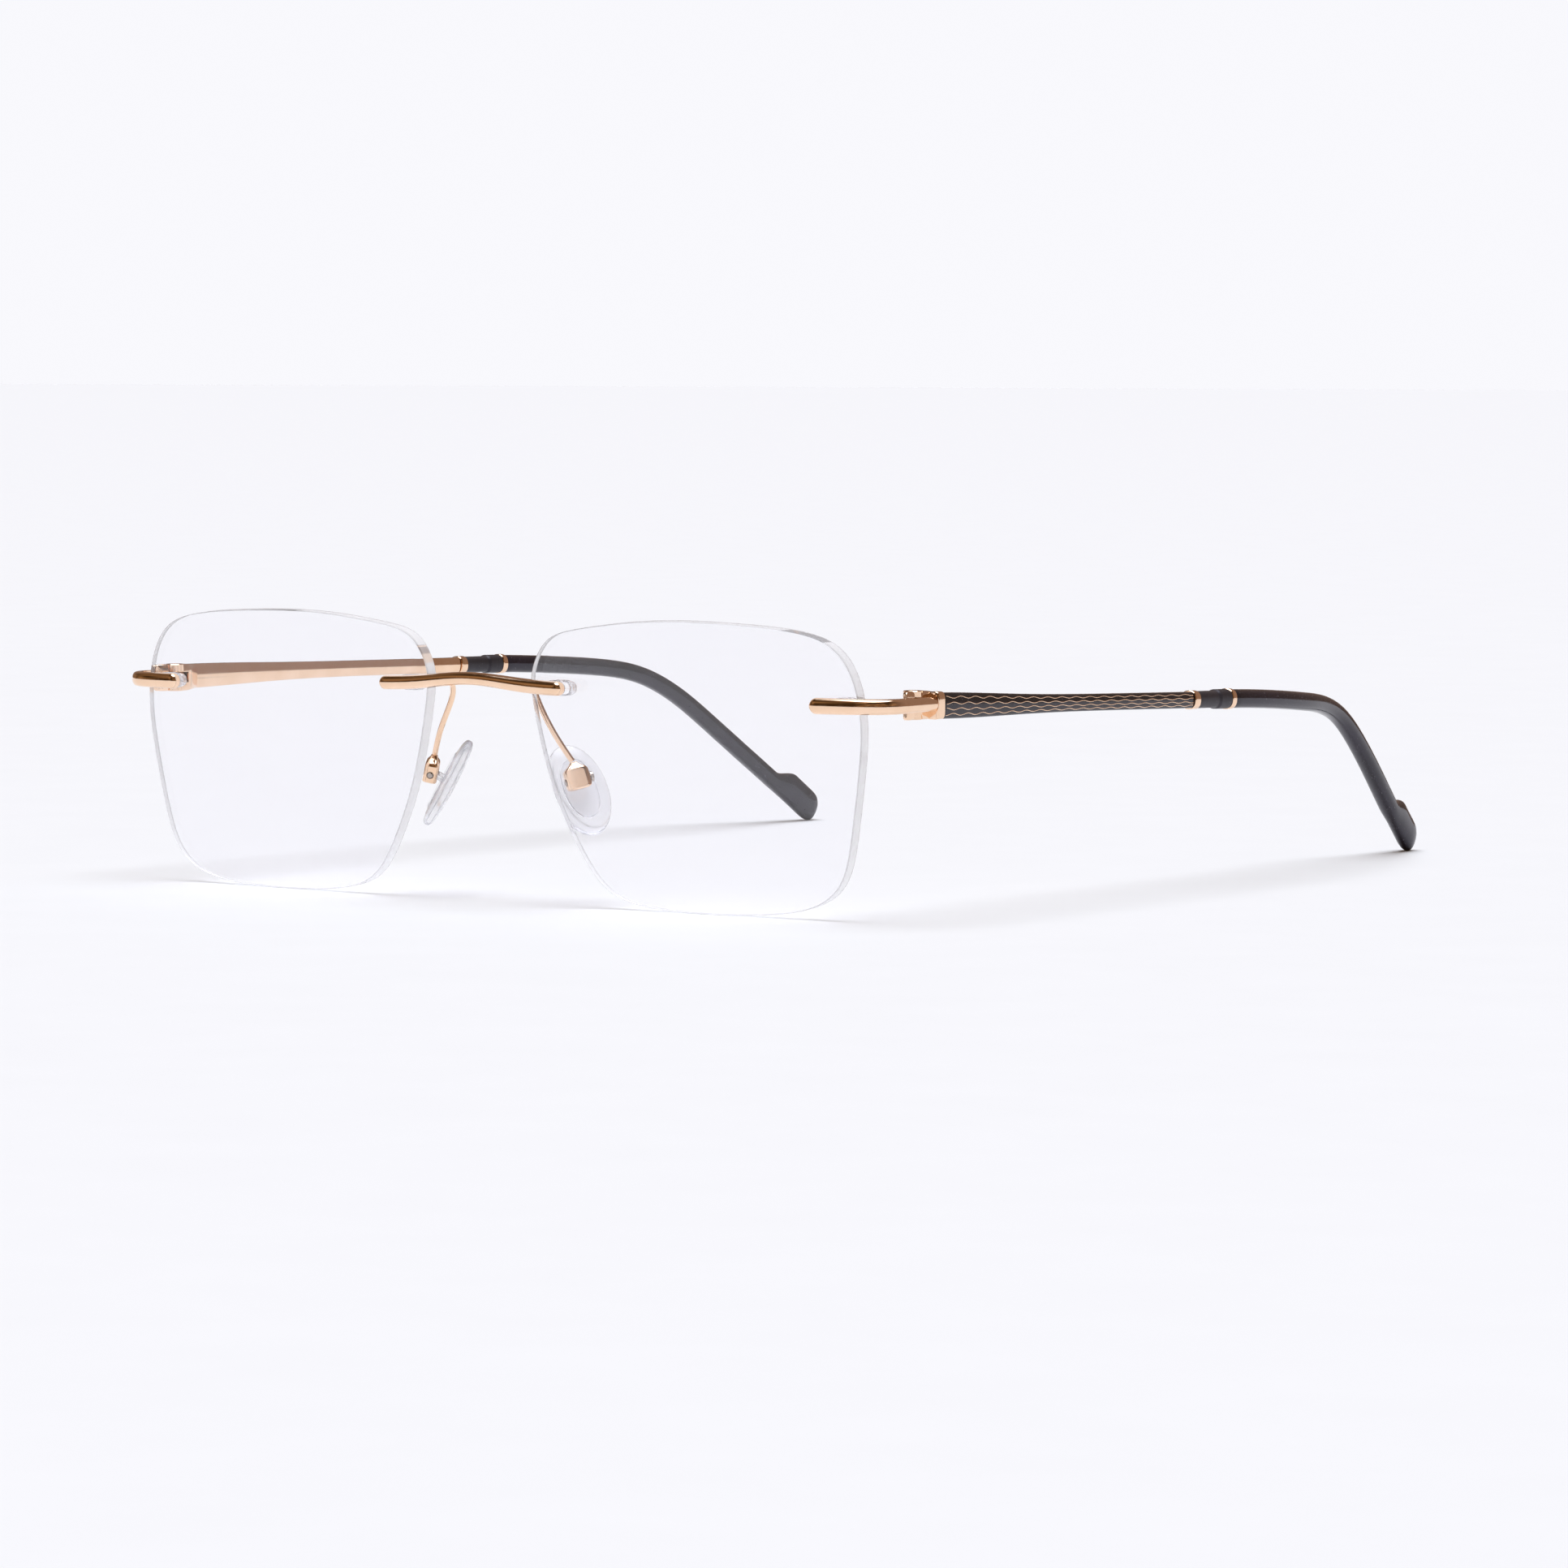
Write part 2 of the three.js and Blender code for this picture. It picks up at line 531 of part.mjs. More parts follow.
// Slim over the ear, ending in the paddle, and bored for the core wire.
function tip(line) {
  const start = line.stationAt(RING_END_Y + 0.05);
  const along = (s) => start + s * (1 - start);
  const shares = [...evenly(18).map((s) => s * PADDLE_START), 0.82, 0.835, 0.85, 0.88, 0.91, 0.94, 0.965, 0.985, 1];
  const frames = framesAlong(line, shares.map(along), () => 0, () => 0).map((frame, i) => {
    const { below, above } = tipReach(shares[i]);
    return {
      ...frame,
      at: frame.at.clone().addScaledVector(frame.tall, (above - below) / 2),
      height: (above + below) / 2,
      width: tipHalfWidth(shares[i]),
    };
  });
  const boreStations = evenly(14).map((s) => along(-0.01 + s * (CORE_END + 0.02)));
  const bore = sweep(ovalSection(12, 2),
    framesAlong(line, boreStations, () => CORE_RADIUS + FIT, () => CORE_RADIUS + FIT));
  return mesh('tip_left', joinAndCut([sweep(ovalSection(20, 2.3), frames)], [bore]), 'gloss_black');
}

function templePieces(side) {
  const line = new TempleLine(side);
  return [temple(line), panel(line), ferrule(line), coreWire(line), sleeve(line), ring(line), tip(line)];
}

// ---- nose pads -------------------------------------------------------------
const PAD_BOX_AT = V(13.1, 5.4, 17.15);
const PAD_AT = V(11.75, 7.45, 15.6);
const PAD_SCREW_AXIS = V(0.53, 0.82, 0.22).normalize();
const PAD_TO_NOSE = V(-0.716, 0.513, -0.478);
const PAD_ROCK = THREE.MathUtils.degToRad(16);    // rest angle between the pad and its box

// Frame of the pad: x along the screw, y toward the nose, z up along the pad.
function padBasis() {
  const across = PAD_SCREW_AXIS.clone();
  const toNose = PAD_TO_NOSE.clone().addScaledVector(across, -PAD_TO_NOSE.dot(across)).normalize();
  return new THREE.Matrix4().makeBasis(across, toNose, across.clone().cross(toNose));
}

function padBoxBasis() {
  return padBasis().multiply(new THREE.Matrix4().makeRotationX(PAD_ROCK));
}

function setFrame(piece, basis, at) {
  piece.quaternion.setFromRotationMatrix(basis);
  piece.position.copy(at);
  return piece;
}

// Wire from the back of the bridge, back and down to the pad box.
function padArm() {
  const boxTop = V(0, 0, PAD_BOX.top + 1.45).applyMatrix4(padBoxBasis()).add(PAD_BOX_AT);
  const line = new THREE.CatmullRomCurve3([
    V(6.0, ARM_START_Y, 30.15), V(6.5, 0.6, 30.25), V(7.0, 2.2, 30.0), V(7.45, 3.2, 28.9), V(8.1, 3.55, 27.2),
    V(10.2, 4.0, 23.4), boxTop,
  ], false, 'centripetal');
  const frames = evenly(20).map((t) => {
    const tangent = line.getTangent(t);
    const wide = tangent.clone().cross(V(1, 0, 0.2)).normalize();
    return { at: line.getPoint(t), tall: wide.clone().cross(tangent), wide, height: PAD_ARM_RADIUS, width: PAD_ARM_RADIUS };
  });
  return mesh('pad_arm_left', sweep(ovalSection(12, 2), frames), 'rose_gold');
}

// A square eye open on both faces, with a neck that tapers up to the wire, bored for the screw.
function padBox() {
  const { width, depth, bottom, top, wall } = PAD_BOX;
  const body = sweep(ovalSection(24, 6), [
    [bottom, 0.75, 0.9], [bottom + 0.2, 0.93, 1], [bottom + 0.5, 1, 1], [top, 1, 1],
    [top + 0.5, 0.8, 0.85], [top + 0.95, 0.42, 0.6], [top + 1.3, 0.26, 0.45],
  ].map(([z, wide, deep]) => ({
    at: V(0, 0, z), tall: V(1, 0, 0), wide: V(0, 1, 0), height: (width / 2) * wide, width: (depth / 2) * deep,
  })));
  const window = boxBetween(V(-width / 2 + wall, -depth, bottom + 0.45), V(width / 2 - wall, depth, top - 0.2));
  const bore = rod(V(-width, 0, 0), V(width, 0, 0), PAD_SCREW_RADIUS + FIT, 18);
  const piece = mesh('pad_box_left', joinAndCut([body], [window, bore]), 'rose_gold');
  return setFrame(piece, padBoxBasis(), PAD_BOX_AT);
}

function padScrew() {
  const half = PAD_BOX.width / 2;
  const shank = rod(V(-half - 0.15, 0, 0), V(half + 0.3, 0, 0), PAD_SCREW_RADIUS, 16);
  const head = rod(V(half + 0.08, 0, 0), V(half + 0.5, 0, 0), 0.72, 20);
  const slot = boxBetween(V(half + 0.3, -0.11, -2), V(half + 1, 0.11, 2));
  return setFrame(mesh('pad_screw_left', joinAndCut([shank, head], [slot]), 'screw_steel'), padBoxBasis(), PAD_BOX_AT);
}

// Hard plate in the back of the pad, with the eye that the screw passes through.
function padCore() {
  const toBox = PAD_BOX_AT.clone().sub(PAD_AT).applyMatrix4(padBasis().invert());
  const eye = rod(V(toBox.x - 0.95, toBox.y, toBox.z), V(toBox.x + 0.95, toBox.y, toBox.z), 0.74, 20);
  const stem = boxBetween(V(toBox.x - 0.95, toBox.y, toBox.z - 0.45), V(toBox.x + 0.95, -0.5, toBox.z + 0.45));
  const plate = sweep(ovalSection(28, 2.3), [-1.05, -0.45].map((y) => ({
    at: V(0, y, 0), tall: V(0, 0, 1), wide: V(1, 0, 0), height: 4.4, width: 2.3,
  })));
  const bore = rod(V(toBox.x - 3, toBox.y, toBox.z), V(toBox.x + 3, toBox.y, toBox.z), PAD_SCREW_RADIUS + FIT, 16);
  return setFrame(mesh('pad_core_left', joinAndCut([plate, stem, eye], [bore]), 'clear_plastic'), padBasis(), PAD_AT);
}

// Soft pad, thick in the middle and thin at the rim, with a recess that holds the hard plate.
function nosePad() {
  const body = new THREE.SphereGeometry(1, 26, 14).rotateX(Math.PI / 2);
  const p = body.attributes.position;
  for (let i = 0; i < p.count; i += 1) {
    const [x, y, z] = [p.getX(i), p.getY(i), p.getZ(i)];
    const rim = Math.sign(y) * Math.abs(y) ** 0.6;
    p.setXYZ(i, (x * PAD_WIDTH) / 2, (rim * PAD_DEPTH) / 2, (z * PAD_LENGTH) / 2);
  }
  const recess = sweep(ovalSection(28, 2.3), [-3, -0.35].map((y) => ({
    at: V(0, y, 0), tall: V(0, 0, 1), wide: V(1, 0, 0), height: 4.5, width: 2.4,
  })));
  return setFrame(mesh('nose_pad_left', joinAndCut([body], [recess]), 'silicone'), padBasis(), PAD_AT);
}

// ---- assembly --------------------------------------------------------------
function mirrored(piece) {
  const geometry = closed(piece.geometry.clone().scale(-1, 1, 1));
  const copy = new THREE.Mesh(geometry, piece.material.clone());
  copy.name = piece.name.replace('_left', '_right');
  copy.position.set(-piece.position.x, piece.position.y, piece.position.z);
  const { x, y, z, w } = piece.quaternion;
  copy.quaternion.set(x, -y, -z, w);
  return copy;
}

const leftPieces = [
  lens(),
  doubleSleeve('bridge_sleeve_left', BRIDGE_PINS, MOUNT_Z),
  doubleSleeve('end_sleeve_left', END_PINS, END_Z),
  endPiece(),
  hingeLeaf(),
  hingeScrew(),
  padArm(),
  padBox(),
  padScrew(),
  padCore(),
  nosePad(),
];

const glasses = new THREE.Group();
glasses.add(
  bridge(),
  ...leftPieces, ...templePieces('left'),
  ...[...leftPieces, ...templePieces('right')].map(mirrored),
);

// Middle of the outer box on the origin, and the lowest point at height zero.
const bounds = new THREE.Box3().setFromObject(glasses);
glasses.position.y = -(bounds.min.y + bounds.max.y) / 2;
glasses.position.z = -bounds.min.z;

export default glasses;
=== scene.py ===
"""Rimless eyeglasses: the visible pieces, their materials, the light and the camera.

Shapes are worked out in millimetres in the part's design frame, for the wearer's left,
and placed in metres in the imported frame. The wearer's right is mirrored from them, and
only the temples differ: each side has its own heights.
"""
import math

import bmesh
import bpy
import numpy as np
from mathutils import Matrix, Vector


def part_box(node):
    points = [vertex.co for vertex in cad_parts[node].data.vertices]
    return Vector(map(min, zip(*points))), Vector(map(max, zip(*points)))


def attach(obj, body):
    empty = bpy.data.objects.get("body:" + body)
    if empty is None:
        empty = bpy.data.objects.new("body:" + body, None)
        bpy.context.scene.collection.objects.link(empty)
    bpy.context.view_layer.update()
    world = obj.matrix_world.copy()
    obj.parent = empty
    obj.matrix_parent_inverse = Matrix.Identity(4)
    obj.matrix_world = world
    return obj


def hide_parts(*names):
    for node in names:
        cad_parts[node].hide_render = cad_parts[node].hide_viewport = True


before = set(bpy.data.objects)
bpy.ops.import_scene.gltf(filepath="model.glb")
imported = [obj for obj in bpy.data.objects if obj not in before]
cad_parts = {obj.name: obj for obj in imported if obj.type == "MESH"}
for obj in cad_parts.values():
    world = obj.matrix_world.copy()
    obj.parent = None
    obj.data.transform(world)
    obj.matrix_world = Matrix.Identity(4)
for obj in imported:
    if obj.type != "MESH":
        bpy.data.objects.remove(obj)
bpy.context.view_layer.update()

# ---- dimensions of the part, in millimetres ---------------------------------
LENS_WIDTH = 53.0
LENS_HEIGHT = 39.5
LENS_GAP = 17.8
LENS_THICKNESS = 1.84
LENS_RADIUS = 269.0
LENS_WRAP = math.radians(2.6)
LENS_TILT = math.radians(4.2)
LENS_X = (LENS_GAP + LENS_WIDTH) / 2
LENS_CHAMFER = 0.14
LENS_OUTLINE = [
    (-26.4, 9.5), (-26.1, 13.0), (-23.6, 16.6), (-18.0, 18.35), (-10.0, 19.35), (-1.5, 19.75),
    (8.0, 19.5), (16.5, 18.75), (22.2, 16.9), (25.3, 13.0), (26.6, 6.6), (26.0, -0.5),
    (24.6, -8.5), (22.7, -14.5), (19.3, -17.6), (13.0, -19.2), (2.5, -19.75), (-7.0, -19.4),
    (-13.0, -18.2), (-16.6, -15.7), (-20.0, -10.6), (-23.6, -2.5),
]

LENS_BACK_GAP = 0.02  # allowed for the tilt, where a piece stands on the lens's back
LENS_REACH = 24.0  # from the middle of a lens to its rim, roughly
LENS_POINTS = 176  # round the outline
# Rings of a lens's faces, as shares of the outline.
LENS_RINGS = (0.02, 0.16, 0.3, 0.44, 0.58, 0.7, 0.8, 0.88, 0.94, 1 - LENS_CHAMFER / LENS_REACH)

FIT = 0.1  # clearance between pieces that are fitted together
MOUNT_Z = 29.85  # height of the bridge pins
END_Z = 28.75  # height of the end-piece pins
PIN_RADIUS = 0.45
SLEEVE_RADIUS = 0.72
SLEEVE_FOOT = 1.1
SLEEVE_TUBE_START = 0.1  # behind the lens's front
# Rings of a sleeve's domed foot: depth, and share of its full size.
SLEEVE_DOME = ((0, 0.94), (0.08, 1), (0.65, 1), (0.95, 0.95), (1.2, 0.84), (1.36, 0.68), (1.44, 0.45))
PIN_BEHIND = 1.0  # how far a pin reaches behind the lens
BRIDGE_PINS = (11.6, 14.2)
END_PINS = (57.3, 59.8)

BRIDGE_END = 15.75
BRIDGE_HEIGHT = 1.95
BRIDGE_WAIST = 0.2
BRIDGE_DEPTH = 1.4
BRIDGE_ARCH = 1.0
BRIDGE_ARCH_REACH = 8.3
BRIDGE_BACK_Y = -1.8
BRIDGE_FORWARD = 0.35  # how far its middle stands in front of its ends
BRIDGE_ROUND = 0.9  # length of its rounded ends
BAR_STATIONS = 90  # rings along a gold bar, between its rounded ends

END_BAR_HEIGHT = 2.2
END_BAR_DEPTH = 1.25
END_BAR_ROUND = 1.0
END_BAR_TAPER = 0.12  # share of its height lost toward the hinge
END_PIN_START_Y = 0.9
PLATE_INSIDE_X = 65.42
PLATE_END_Y = 13.15
# The inner face of the end piece's bar: along the lens, round the corner, back outside the hinge.
END_BAR_PLACES = (
    (54.9, 0.72), (58, 0.98), (61.3, 1.5), (63.6, 2.45), (64.95, 4.1), (PLATE_INSIDE_X, 6.2),
    (PLATE_INSIDE_X, 8.5), (PLATE_INSIDE_X, 11), (PLATE_INSIDE_X, PLATE_END_Y),
)

HINGE_X, HINGE_Y = 64.0, 11.1
HINGE_BOTTOM, HINGE_TOP = 26.75, 30.6
HINGE_MIDDLE = (HINGE_BOTTOM + HINGE_TOP) / 2
HINGE_HALF = (HINGE_TOP - HINGE_BOTTOM) / 2
KNUCKLE_RADIUS = 1.3
KNUCKLE_GAP = 0.1
KNUCKLE_SPLIT = (HINGE_TOP - HINGE_BOTTOM) / 3
SCREW_RADIUS = 0.45
SCREW_HEAD_RADIUS = 0.75
SCREW_HEAD_DROP = 0.55  # from the top knuckle's face to the underside of the head
COUNTERBORE_DEPTH = 0.65
LEAF_START_Y = 7.8
LEAF_END_Y = 9.65
# Rings of the hinge leaf: y, thickness, share of the hinge's height.
LEAF_RINGS = (
    (LEAF_START_Y, 0.6, 0.8), (LEAF_START_Y + 0.12, 0.74, 0.9), (LEAF_START_Y + 0.35, 0.9, 0.97),
    (LEAF_START_Y + 1.2, 1.3, 1), (LEAF_END_Y - 0.1, 1.5, 1), (LEAF_END_Y, 1.4, 0.95),
)
FORK_PLACES = ((HINGE_Y, 62.9, 1.0), (12.9, 62.9, 1.0), (14.5, 63.5, 0.93), (16.8, 64.75, 0.8))
FORK_FALL = 0.03  # how much lower the fork's middle gets per millimetre backward
SHOULDER_START_Y = PLATE_END_Y + 0.12
SHOULDER_END_Y = 14.75
SHOULDER_INSIDE_X = 64.4
TEMPLE_FRONT_Z = 28.55

TEMPLE_X = 65.75
PANEL_END_Y = 77.2
FERRULE_END_Y = 78.7
COLLAR_START_Y = 84.3
COLLAR_END_Y = 87.2
RING_END_Y = 88.3
TEMPLE_FRONT_HEIGHT = 3.5
TEMPLE_REAR_HEIGHT = 2.3
TEMPLE_TAPER = 20.0
TEMPLE_DEPTH = 1.0
BAR_FLANK = 0.25  # how deep the bulged bar is at its upper and lower edge, of 1
PANEL_FLANK = 0.35
PANEL_GAP = 0.05  # between the bar's flat side and the panel
LAYER_EASE = 0.06
FERRULE_HALF = (1.34, 1.3)  # half height and half width
SLEEVE_HALF = (1.22, 1.18)
RING_HALF = (1.48, 1.45)
COLLAR_SWELL = 0.18
TUBE_EASE = 0.1
TUBE_POWER = 2.4
CORE_RADIUS = 0.5
CORE_END = 0.62  # how far along the tip the core wire reaches
TIP_HALF_HEIGHT = 1.34
TIP_HALF_WIDTH = 1.3
TIP_WIDENING = 0.1
TIP_POWER = 2.3
PADDLE_RISE = 2.0  # the paddle swells upward only
PADDLE_START = 0.8  # where along the tip it starts
PADDLE_SWELL = 0.065  # over this share of the tip
TIP_ROUND_START = 0.945  # where the end begins to round, seen from the side
TIP_NARROW_START = 0.93  # and seen from above
# Places along the middle of a temple: x, y, height on the left, height on the right.
TEMPLE_PLACES = [
    (65.75, 13.0, 28.55, 28.6), (65.75, 30, 28.0, 28.55), (65.75, 50, 27.4, 28.3),
    (65.7, 68, 26.85, 27.95), (65.65, 80, 26.5, 27.75), (65.55, 89, 26.25, 27.55),
    (65.2, 100, 25.7, 27.0), (63.8, 112, 24.8, 26.1), (62.2, 119.5, 24.0, 24.7),
    (61.0, 125.6, 22.5, 22.1), (60.2, 131, 19.7, 18.9), (58.9, 138.8, 14.2, 13.5),
    (57.4, 146.5, 8.4, 8.0), (56.3, 152.4, 3.95, 3.75), (55.6, 156.9, 0.42, 0.47),
]

WAVE_HEIGHTS = (0.66, 0.2, -0.24, -0.66)  # of the four inlaid lines, as shares of the half height
WAVE_COUNT = 17.6
WAVE_STATIONS = 18  # rings along one wave
WAVE_SWING = 0.078  # as a share of the half height
WAVE_WIDTH = 0.11
WAVE_DEPTH = 0.06
WAVE_START_GAP = 0.2  # from the panel's front end
WAVE_END_GAP = 0.15

PAD_LENGTH = 13.6
PAD_WIDTH = 8.0
PAD_DEPTH = 2.2
PAD_ARM_RADIUS = 0.39
ARM_START_Y = -1.92
BOX_WIDTH, BOX_DEPTH = 3.4, 2.0
BOX_BOTTOM, BOX_TOP = -1.3, 1.2
BOX_WALL = 0.55
BOX_FACE = 0.2  # thickness of the face away from the nose
# Rings of the pad box, from its foot up its neck: height, share of its width, share of its depth.
BOX_RINGS = (
    (BOX_BOTTOM, 0.68, 0.84), (-1.24, 0.78, 0.93), (-1.1, 0.93, 1), (-0.8, 1, 1), (BOX_TOP, 1, 1),
    (1.45, 0.94, 0.97), (1.7, 0.8, 0.86), (1.95, 0.58, 0.7), (2.2, 0.4, 0.56), (2.5, 0.26, 0.45),
)
PAD_SCREW_RADIUS = 0.4
PAD_SCREW_HEAD = 0.72
PAD_EYE_RADIUS = 0.74
PAD_EYE_HALF = 0.95  # half its length along the screw
PAD_STEM_HALF = 0.38
PAD_PLATE = (4.4, 2.3)  # half length and half width of the hard plate
PAD_RECESS = (4.5, 2.4)  # and of the recess that holds it
PAD_RIM_POWER = 0.6
PAD_BOX_AT = np.array([13.1, 5.4, 17.15])
PAD_AT = np.array([11.75, 7.45, 15.6])
PAD_ROCK = math.radians(16)  # rest angle between the pad and its box
ARM_PLACES = (
    (6.0, ARM_START_Y, 30.15), (6.5, 0.6, 30.25), (7.0, 2.2, 30.0), (7.45, 3.2, 28.9),
    (8.1, 3.55, 27.2), (10.2, 4.0, 23.4),
)

SQUARE = np.array([(1.0, 1.0), (-1.0, 1.0), (-1.0, -1.0), (1.0, -1.0)])
UP = np.array([0.0, 0.0, 1.0])
OUT = np.array([1.0, 0.0, 0.0])
BACK = np.array([0.0, 1.0, 0.0])

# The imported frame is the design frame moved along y: the hinge screw says how far.
SCREW_LOW, SCREW_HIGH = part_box("hinge_screw_left")
SHIFT_Y = (SCREW_LOW[1] + SCREW_HIGH[1]) / 2 * 1000 - HINGE_Y


def placed(points):
    """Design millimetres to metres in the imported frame."""
    return (np.asarray(points, float) + [0.0, SHIFT_Y, 0.0]) / 1000


def unit(vector):
    vector = np.asarray(vector, float)
    return vector / np.linalg.norm(vector)


def smoothstep(value, low, high):
    share = min(max((value - low) / (high - low), 0.0), 1.0)
    return share * share * (3 - 2 * share)


# ---- lines and sections -----------------------------------------------------
class Line:
    """A smooth curve through points, read by the distance along it."""

    SAMPLES = 1600

    def __init__(self, points, closed=False):
        points = np.asarray(points, float)
        count = len(points)
        if closed:
            points = np.vstack([points, points, points, points[:1]])
        knots = np.sqrt(np.linalg.norm(np.diff(points, axis=0), axis=1))
        self.points = points
        self.knots = np.concatenate([[0.0], np.cumsum(knots)])
        self.bends = self._bends()
        ends = (count, 2 * count) if closed else (0, count - 1)
        self.samples = np.linspace(self.knots[ends[0]], self.knots[ends[1]], self.SAMPLES)
        where = np.array([self._read(u)[0] for u in self.samples])
        steps = np.linalg.norm(np.diff(where, axis=0), axis=1)
        self.distances = np.concatenate([[0.0], np.cumsum(steps)])
        self.length = self.distances[-1]
        self.where = where

    def _bends(self):
        """Second derivatives of the cubic pieces, nil at both ends."""
        size = len(self.points)
        gaps = np.diff(self.knots)
        matrix = np.eye(size)
        right = np.zeros_like(self.points)
        for i in range(1, size - 1):
            matrix[i, i - 1:i + 2] = gaps[i - 1], 2 * (gaps[i - 1] + gaps[i]), gaps[i]
            after = (self.points[i + 1] - self.points[i]) / gaps[i]
            before = (self.points[i] - self.points[i - 1]) / gaps[i - 1]
            right[i] = 6 * (after - before)
        return np.linalg.solve(matrix, right)

    def _read(self, u):
        i = int(np.clip(np.searchsorted(self.knots, u) - 1, 0, len(self.knots) - 2))
        gap = self.knots[i + 1] - self.knots[i]
        b = (u - self.knots[i]) / gap
        a = 1 - b
        p, q = self.points[i], self.points[i + 1]
        m, n = self.bends[i], self.bends[i + 1]
        point = a * p + b * q + ((a ** 3 - a) * m + (b ** 3 - b) * n) * gap ** 2 / 6
        slope = (q - p) / gap + ((1 - 3 * a * a) * m + (3 * b * b - 1) * n) * gap / 6
        return point, unit(slope)

    def at(self, distance):
        """The point and the direction at a distance along the line."""
        return self._read(np.interp(distance, self.distances, self.samples))

    def distance_at_y(self, y):
        return float(np.interp(y, self.where[:, 1], self.distances))

    def distance_beyond(self, distance, share):
        """The distance reached after a share of the points that lie beyond the first one."""
        numbers = np.arange(len(self.knots))
        first = np.interp(np.interp(distance, self.distances, self.samples), self.knots, numbers)
        number = first + share * (numbers[-1] - first)
        return float(np.interp(np.interp(number, numbers, self.knots), self.samples, self.distances))


def oval(sides=32, power=2.6):
    """|x|^p + |y|^p = 1: an oval for 2, a rounded box for more."""
    angles = np.arange(sides) * 2 * math.pi / sides
    c, s = np.cos(angles), np.sin(angles)
    return np.stack([np.sign(c) * np.abs(c) ** (2 / power), np.sign(s) * np.abs(s) ** (2 / power)], -1)


def bulge(height_share, flank):
    """How far a bulged section reaches at a share of its half height."""
    return flank + (1 - flank) * max(1 - height_share ** 2, 0.0) ** 0.35


def bulged(flank=BAR_FLANK):
    """Flat at the back with eased edges, and bulged to 1 at the front."""
    sides, edge = 26, 0.06
    points = [(1.0, 1.4 * edge), (1 - edge, 0.0), (edge - 1, 0.0), (-1.0, 1.4 * edge)]
    for i in range(sides + 1):
        share = -math.cos(math.pi * i / sides)
        points.append((share, bulge(share, flank)))
    return np.array(points)


def upright(line, distance):
    """The point on a line, with its upward and its sideways direction."""
    at, direction = line.at(distance)
    wide = unit(np.cross(direction, UP))
    return at, np.cross(wide, direction), wide


def ring(section, at, tall, wide, height, width):
    return at + section[:, :1] * height * tall + section[:, 1:] * width * wide


def eased_ends(length, stretch, count, both=True):
    """Distances along a bar with closer ones in its rounded ends, and each one's roundness."""
    fine = [1 - math.cos(math.radians(angle)) for angle in (6, 18, 32, 46, 60, 75)]
    inner = list(np.linspace(stretch, length - (stretch if both else 0), count))
    first = [stretch * f for f in fine]
    last = [length - stretch * f for f in reversed(fine)] if both else []
    stations = []
    for distance in first + inner + last:
        near = min(distance, length - distance if both else length)
        share = min(near / stretch, 1.0)
        stations.append((distance, math.sqrt(1 - (1 - share) ** 2)))
    return stations


# ---- meshes -----------------------------------------------------------------
def loft(rings, loop=False):
    """Points and faces over a row of rings, its ends closed, or joined to each other."""
    count = len(rings[0])
    rows = len(rings)
    faces = []
    for row in range(rows if loop else rows - 1):
        a, b = row * count, (row + 1) % rows * count
        for i in range(count):
            j = (i + 1) % count
            faces.append((a + i, a + j, b + j, b + i))
    if not loop:
        faces.append(tuple(range(count)))
        faces.append(tuple(range((rows - 1) * count, rows * count)))
    return np.vstack(rings), faces


def turned(start, direction, profile, sides=40, loop=False):
    """A shape turned about an axis, from (distance along it, radius) pairs."""
    axis = unit(direction)
    side = unit(np.cross(axis, OUT if abs(axis[0]) < 0.8 else UP))
    other = np.cross(axis, side)
    circle = oval(sides, 2)
    start = np.asarray(start, float)
    return loft([ring(circle, start + axis * far, side, other, r, r) for far, r in profile], loop)


def rod(start, end, radius):
    """A round rod with eased edges."""
    ease = 0.06
    length = float(np.linalg.norm(np.subtract(end, start)))
    profile = [(0, radius - ease), (ease, radius), (length - ease, radius), (length, radius - ease)]
    return turned(start, np.subtract(end, start), profile, 32)


def block(low, high, power=7.0, ease=0.12):
    """A box with eased edges, lofted along y."""
    low, high = np.asarray(low, float), np.asarray(high, float)
    middle, half = (low + high) / 2, (high - low) / 2
    rings = []
    for y, inset in ((low[1], ease), (low[1] + ease, 0), (high[1] - ease, 0), (high[1], ease)):
        at = np.array([middle[0], y, middle[2]])
        rings.append(ring(oval(40, power), at, UP, OUT, half[2] - inset, half[0] - inset))
    return loft(rings)


def mesh_of(shells, sharp=32):
    """One mesh from closed shells in design millimetres, smooth but for its sharp edges."""
    points, faces = [], []
    for shell_points, shell_faces in shells:
        faces += [tuple(i + len(points) for i in face) for face in shell_faces]
        points += placed(shell_points).tolist()
    mesh = bpy.data.meshes.new("piece")
    mesh.from_pydata(points, [], faces)
    tidy(mesh, sharp)
    return mesh


def tidy(mesh, sharp):
    """Faces outward, smooth but for edges sharper than an angle in degrees."""
    work = bmesh.new()
    work.from_mesh(mesh)
    bmesh.ops.recalc_face_normals(work, faces=work.faces)
    work.to_mesh(mesh)
    work.free()
    mesh.shade_smooth()
    mesh.set_sharp_from_angle(angle=math.radians(sharp))


def in_scene(name, data):
    """A new object, linked to the scene."""
    made = bpy.data.objects.new(name, data)
    bpy.context.scene.collection.objects.link(made)
    return made


def cut(mesh, shells, sharp=32):
    """The mesh less some closed shells."""
    body = in_scene("body", mesh)
    tools = []
    for shell in shells:
        tool = in_scene("tool", mesh_of([shell]))
        boolean = body.modifiers.new("cut", "BOOLEAN")
        boolean.operation = "DIFFERENCE"
        boolean.solver = "EXACT"
        boolean.object = tool
        tools.append(tool)
    graph = bpy.context.evaluated_depsgraph_get()
    result = bpy.data.meshes.new_from_object(body.evaluated_get(graph))
    for spent in [body, *tools]:
        bpy.data.objects.remove(spent)
    tidy(result, sharp)
    return result


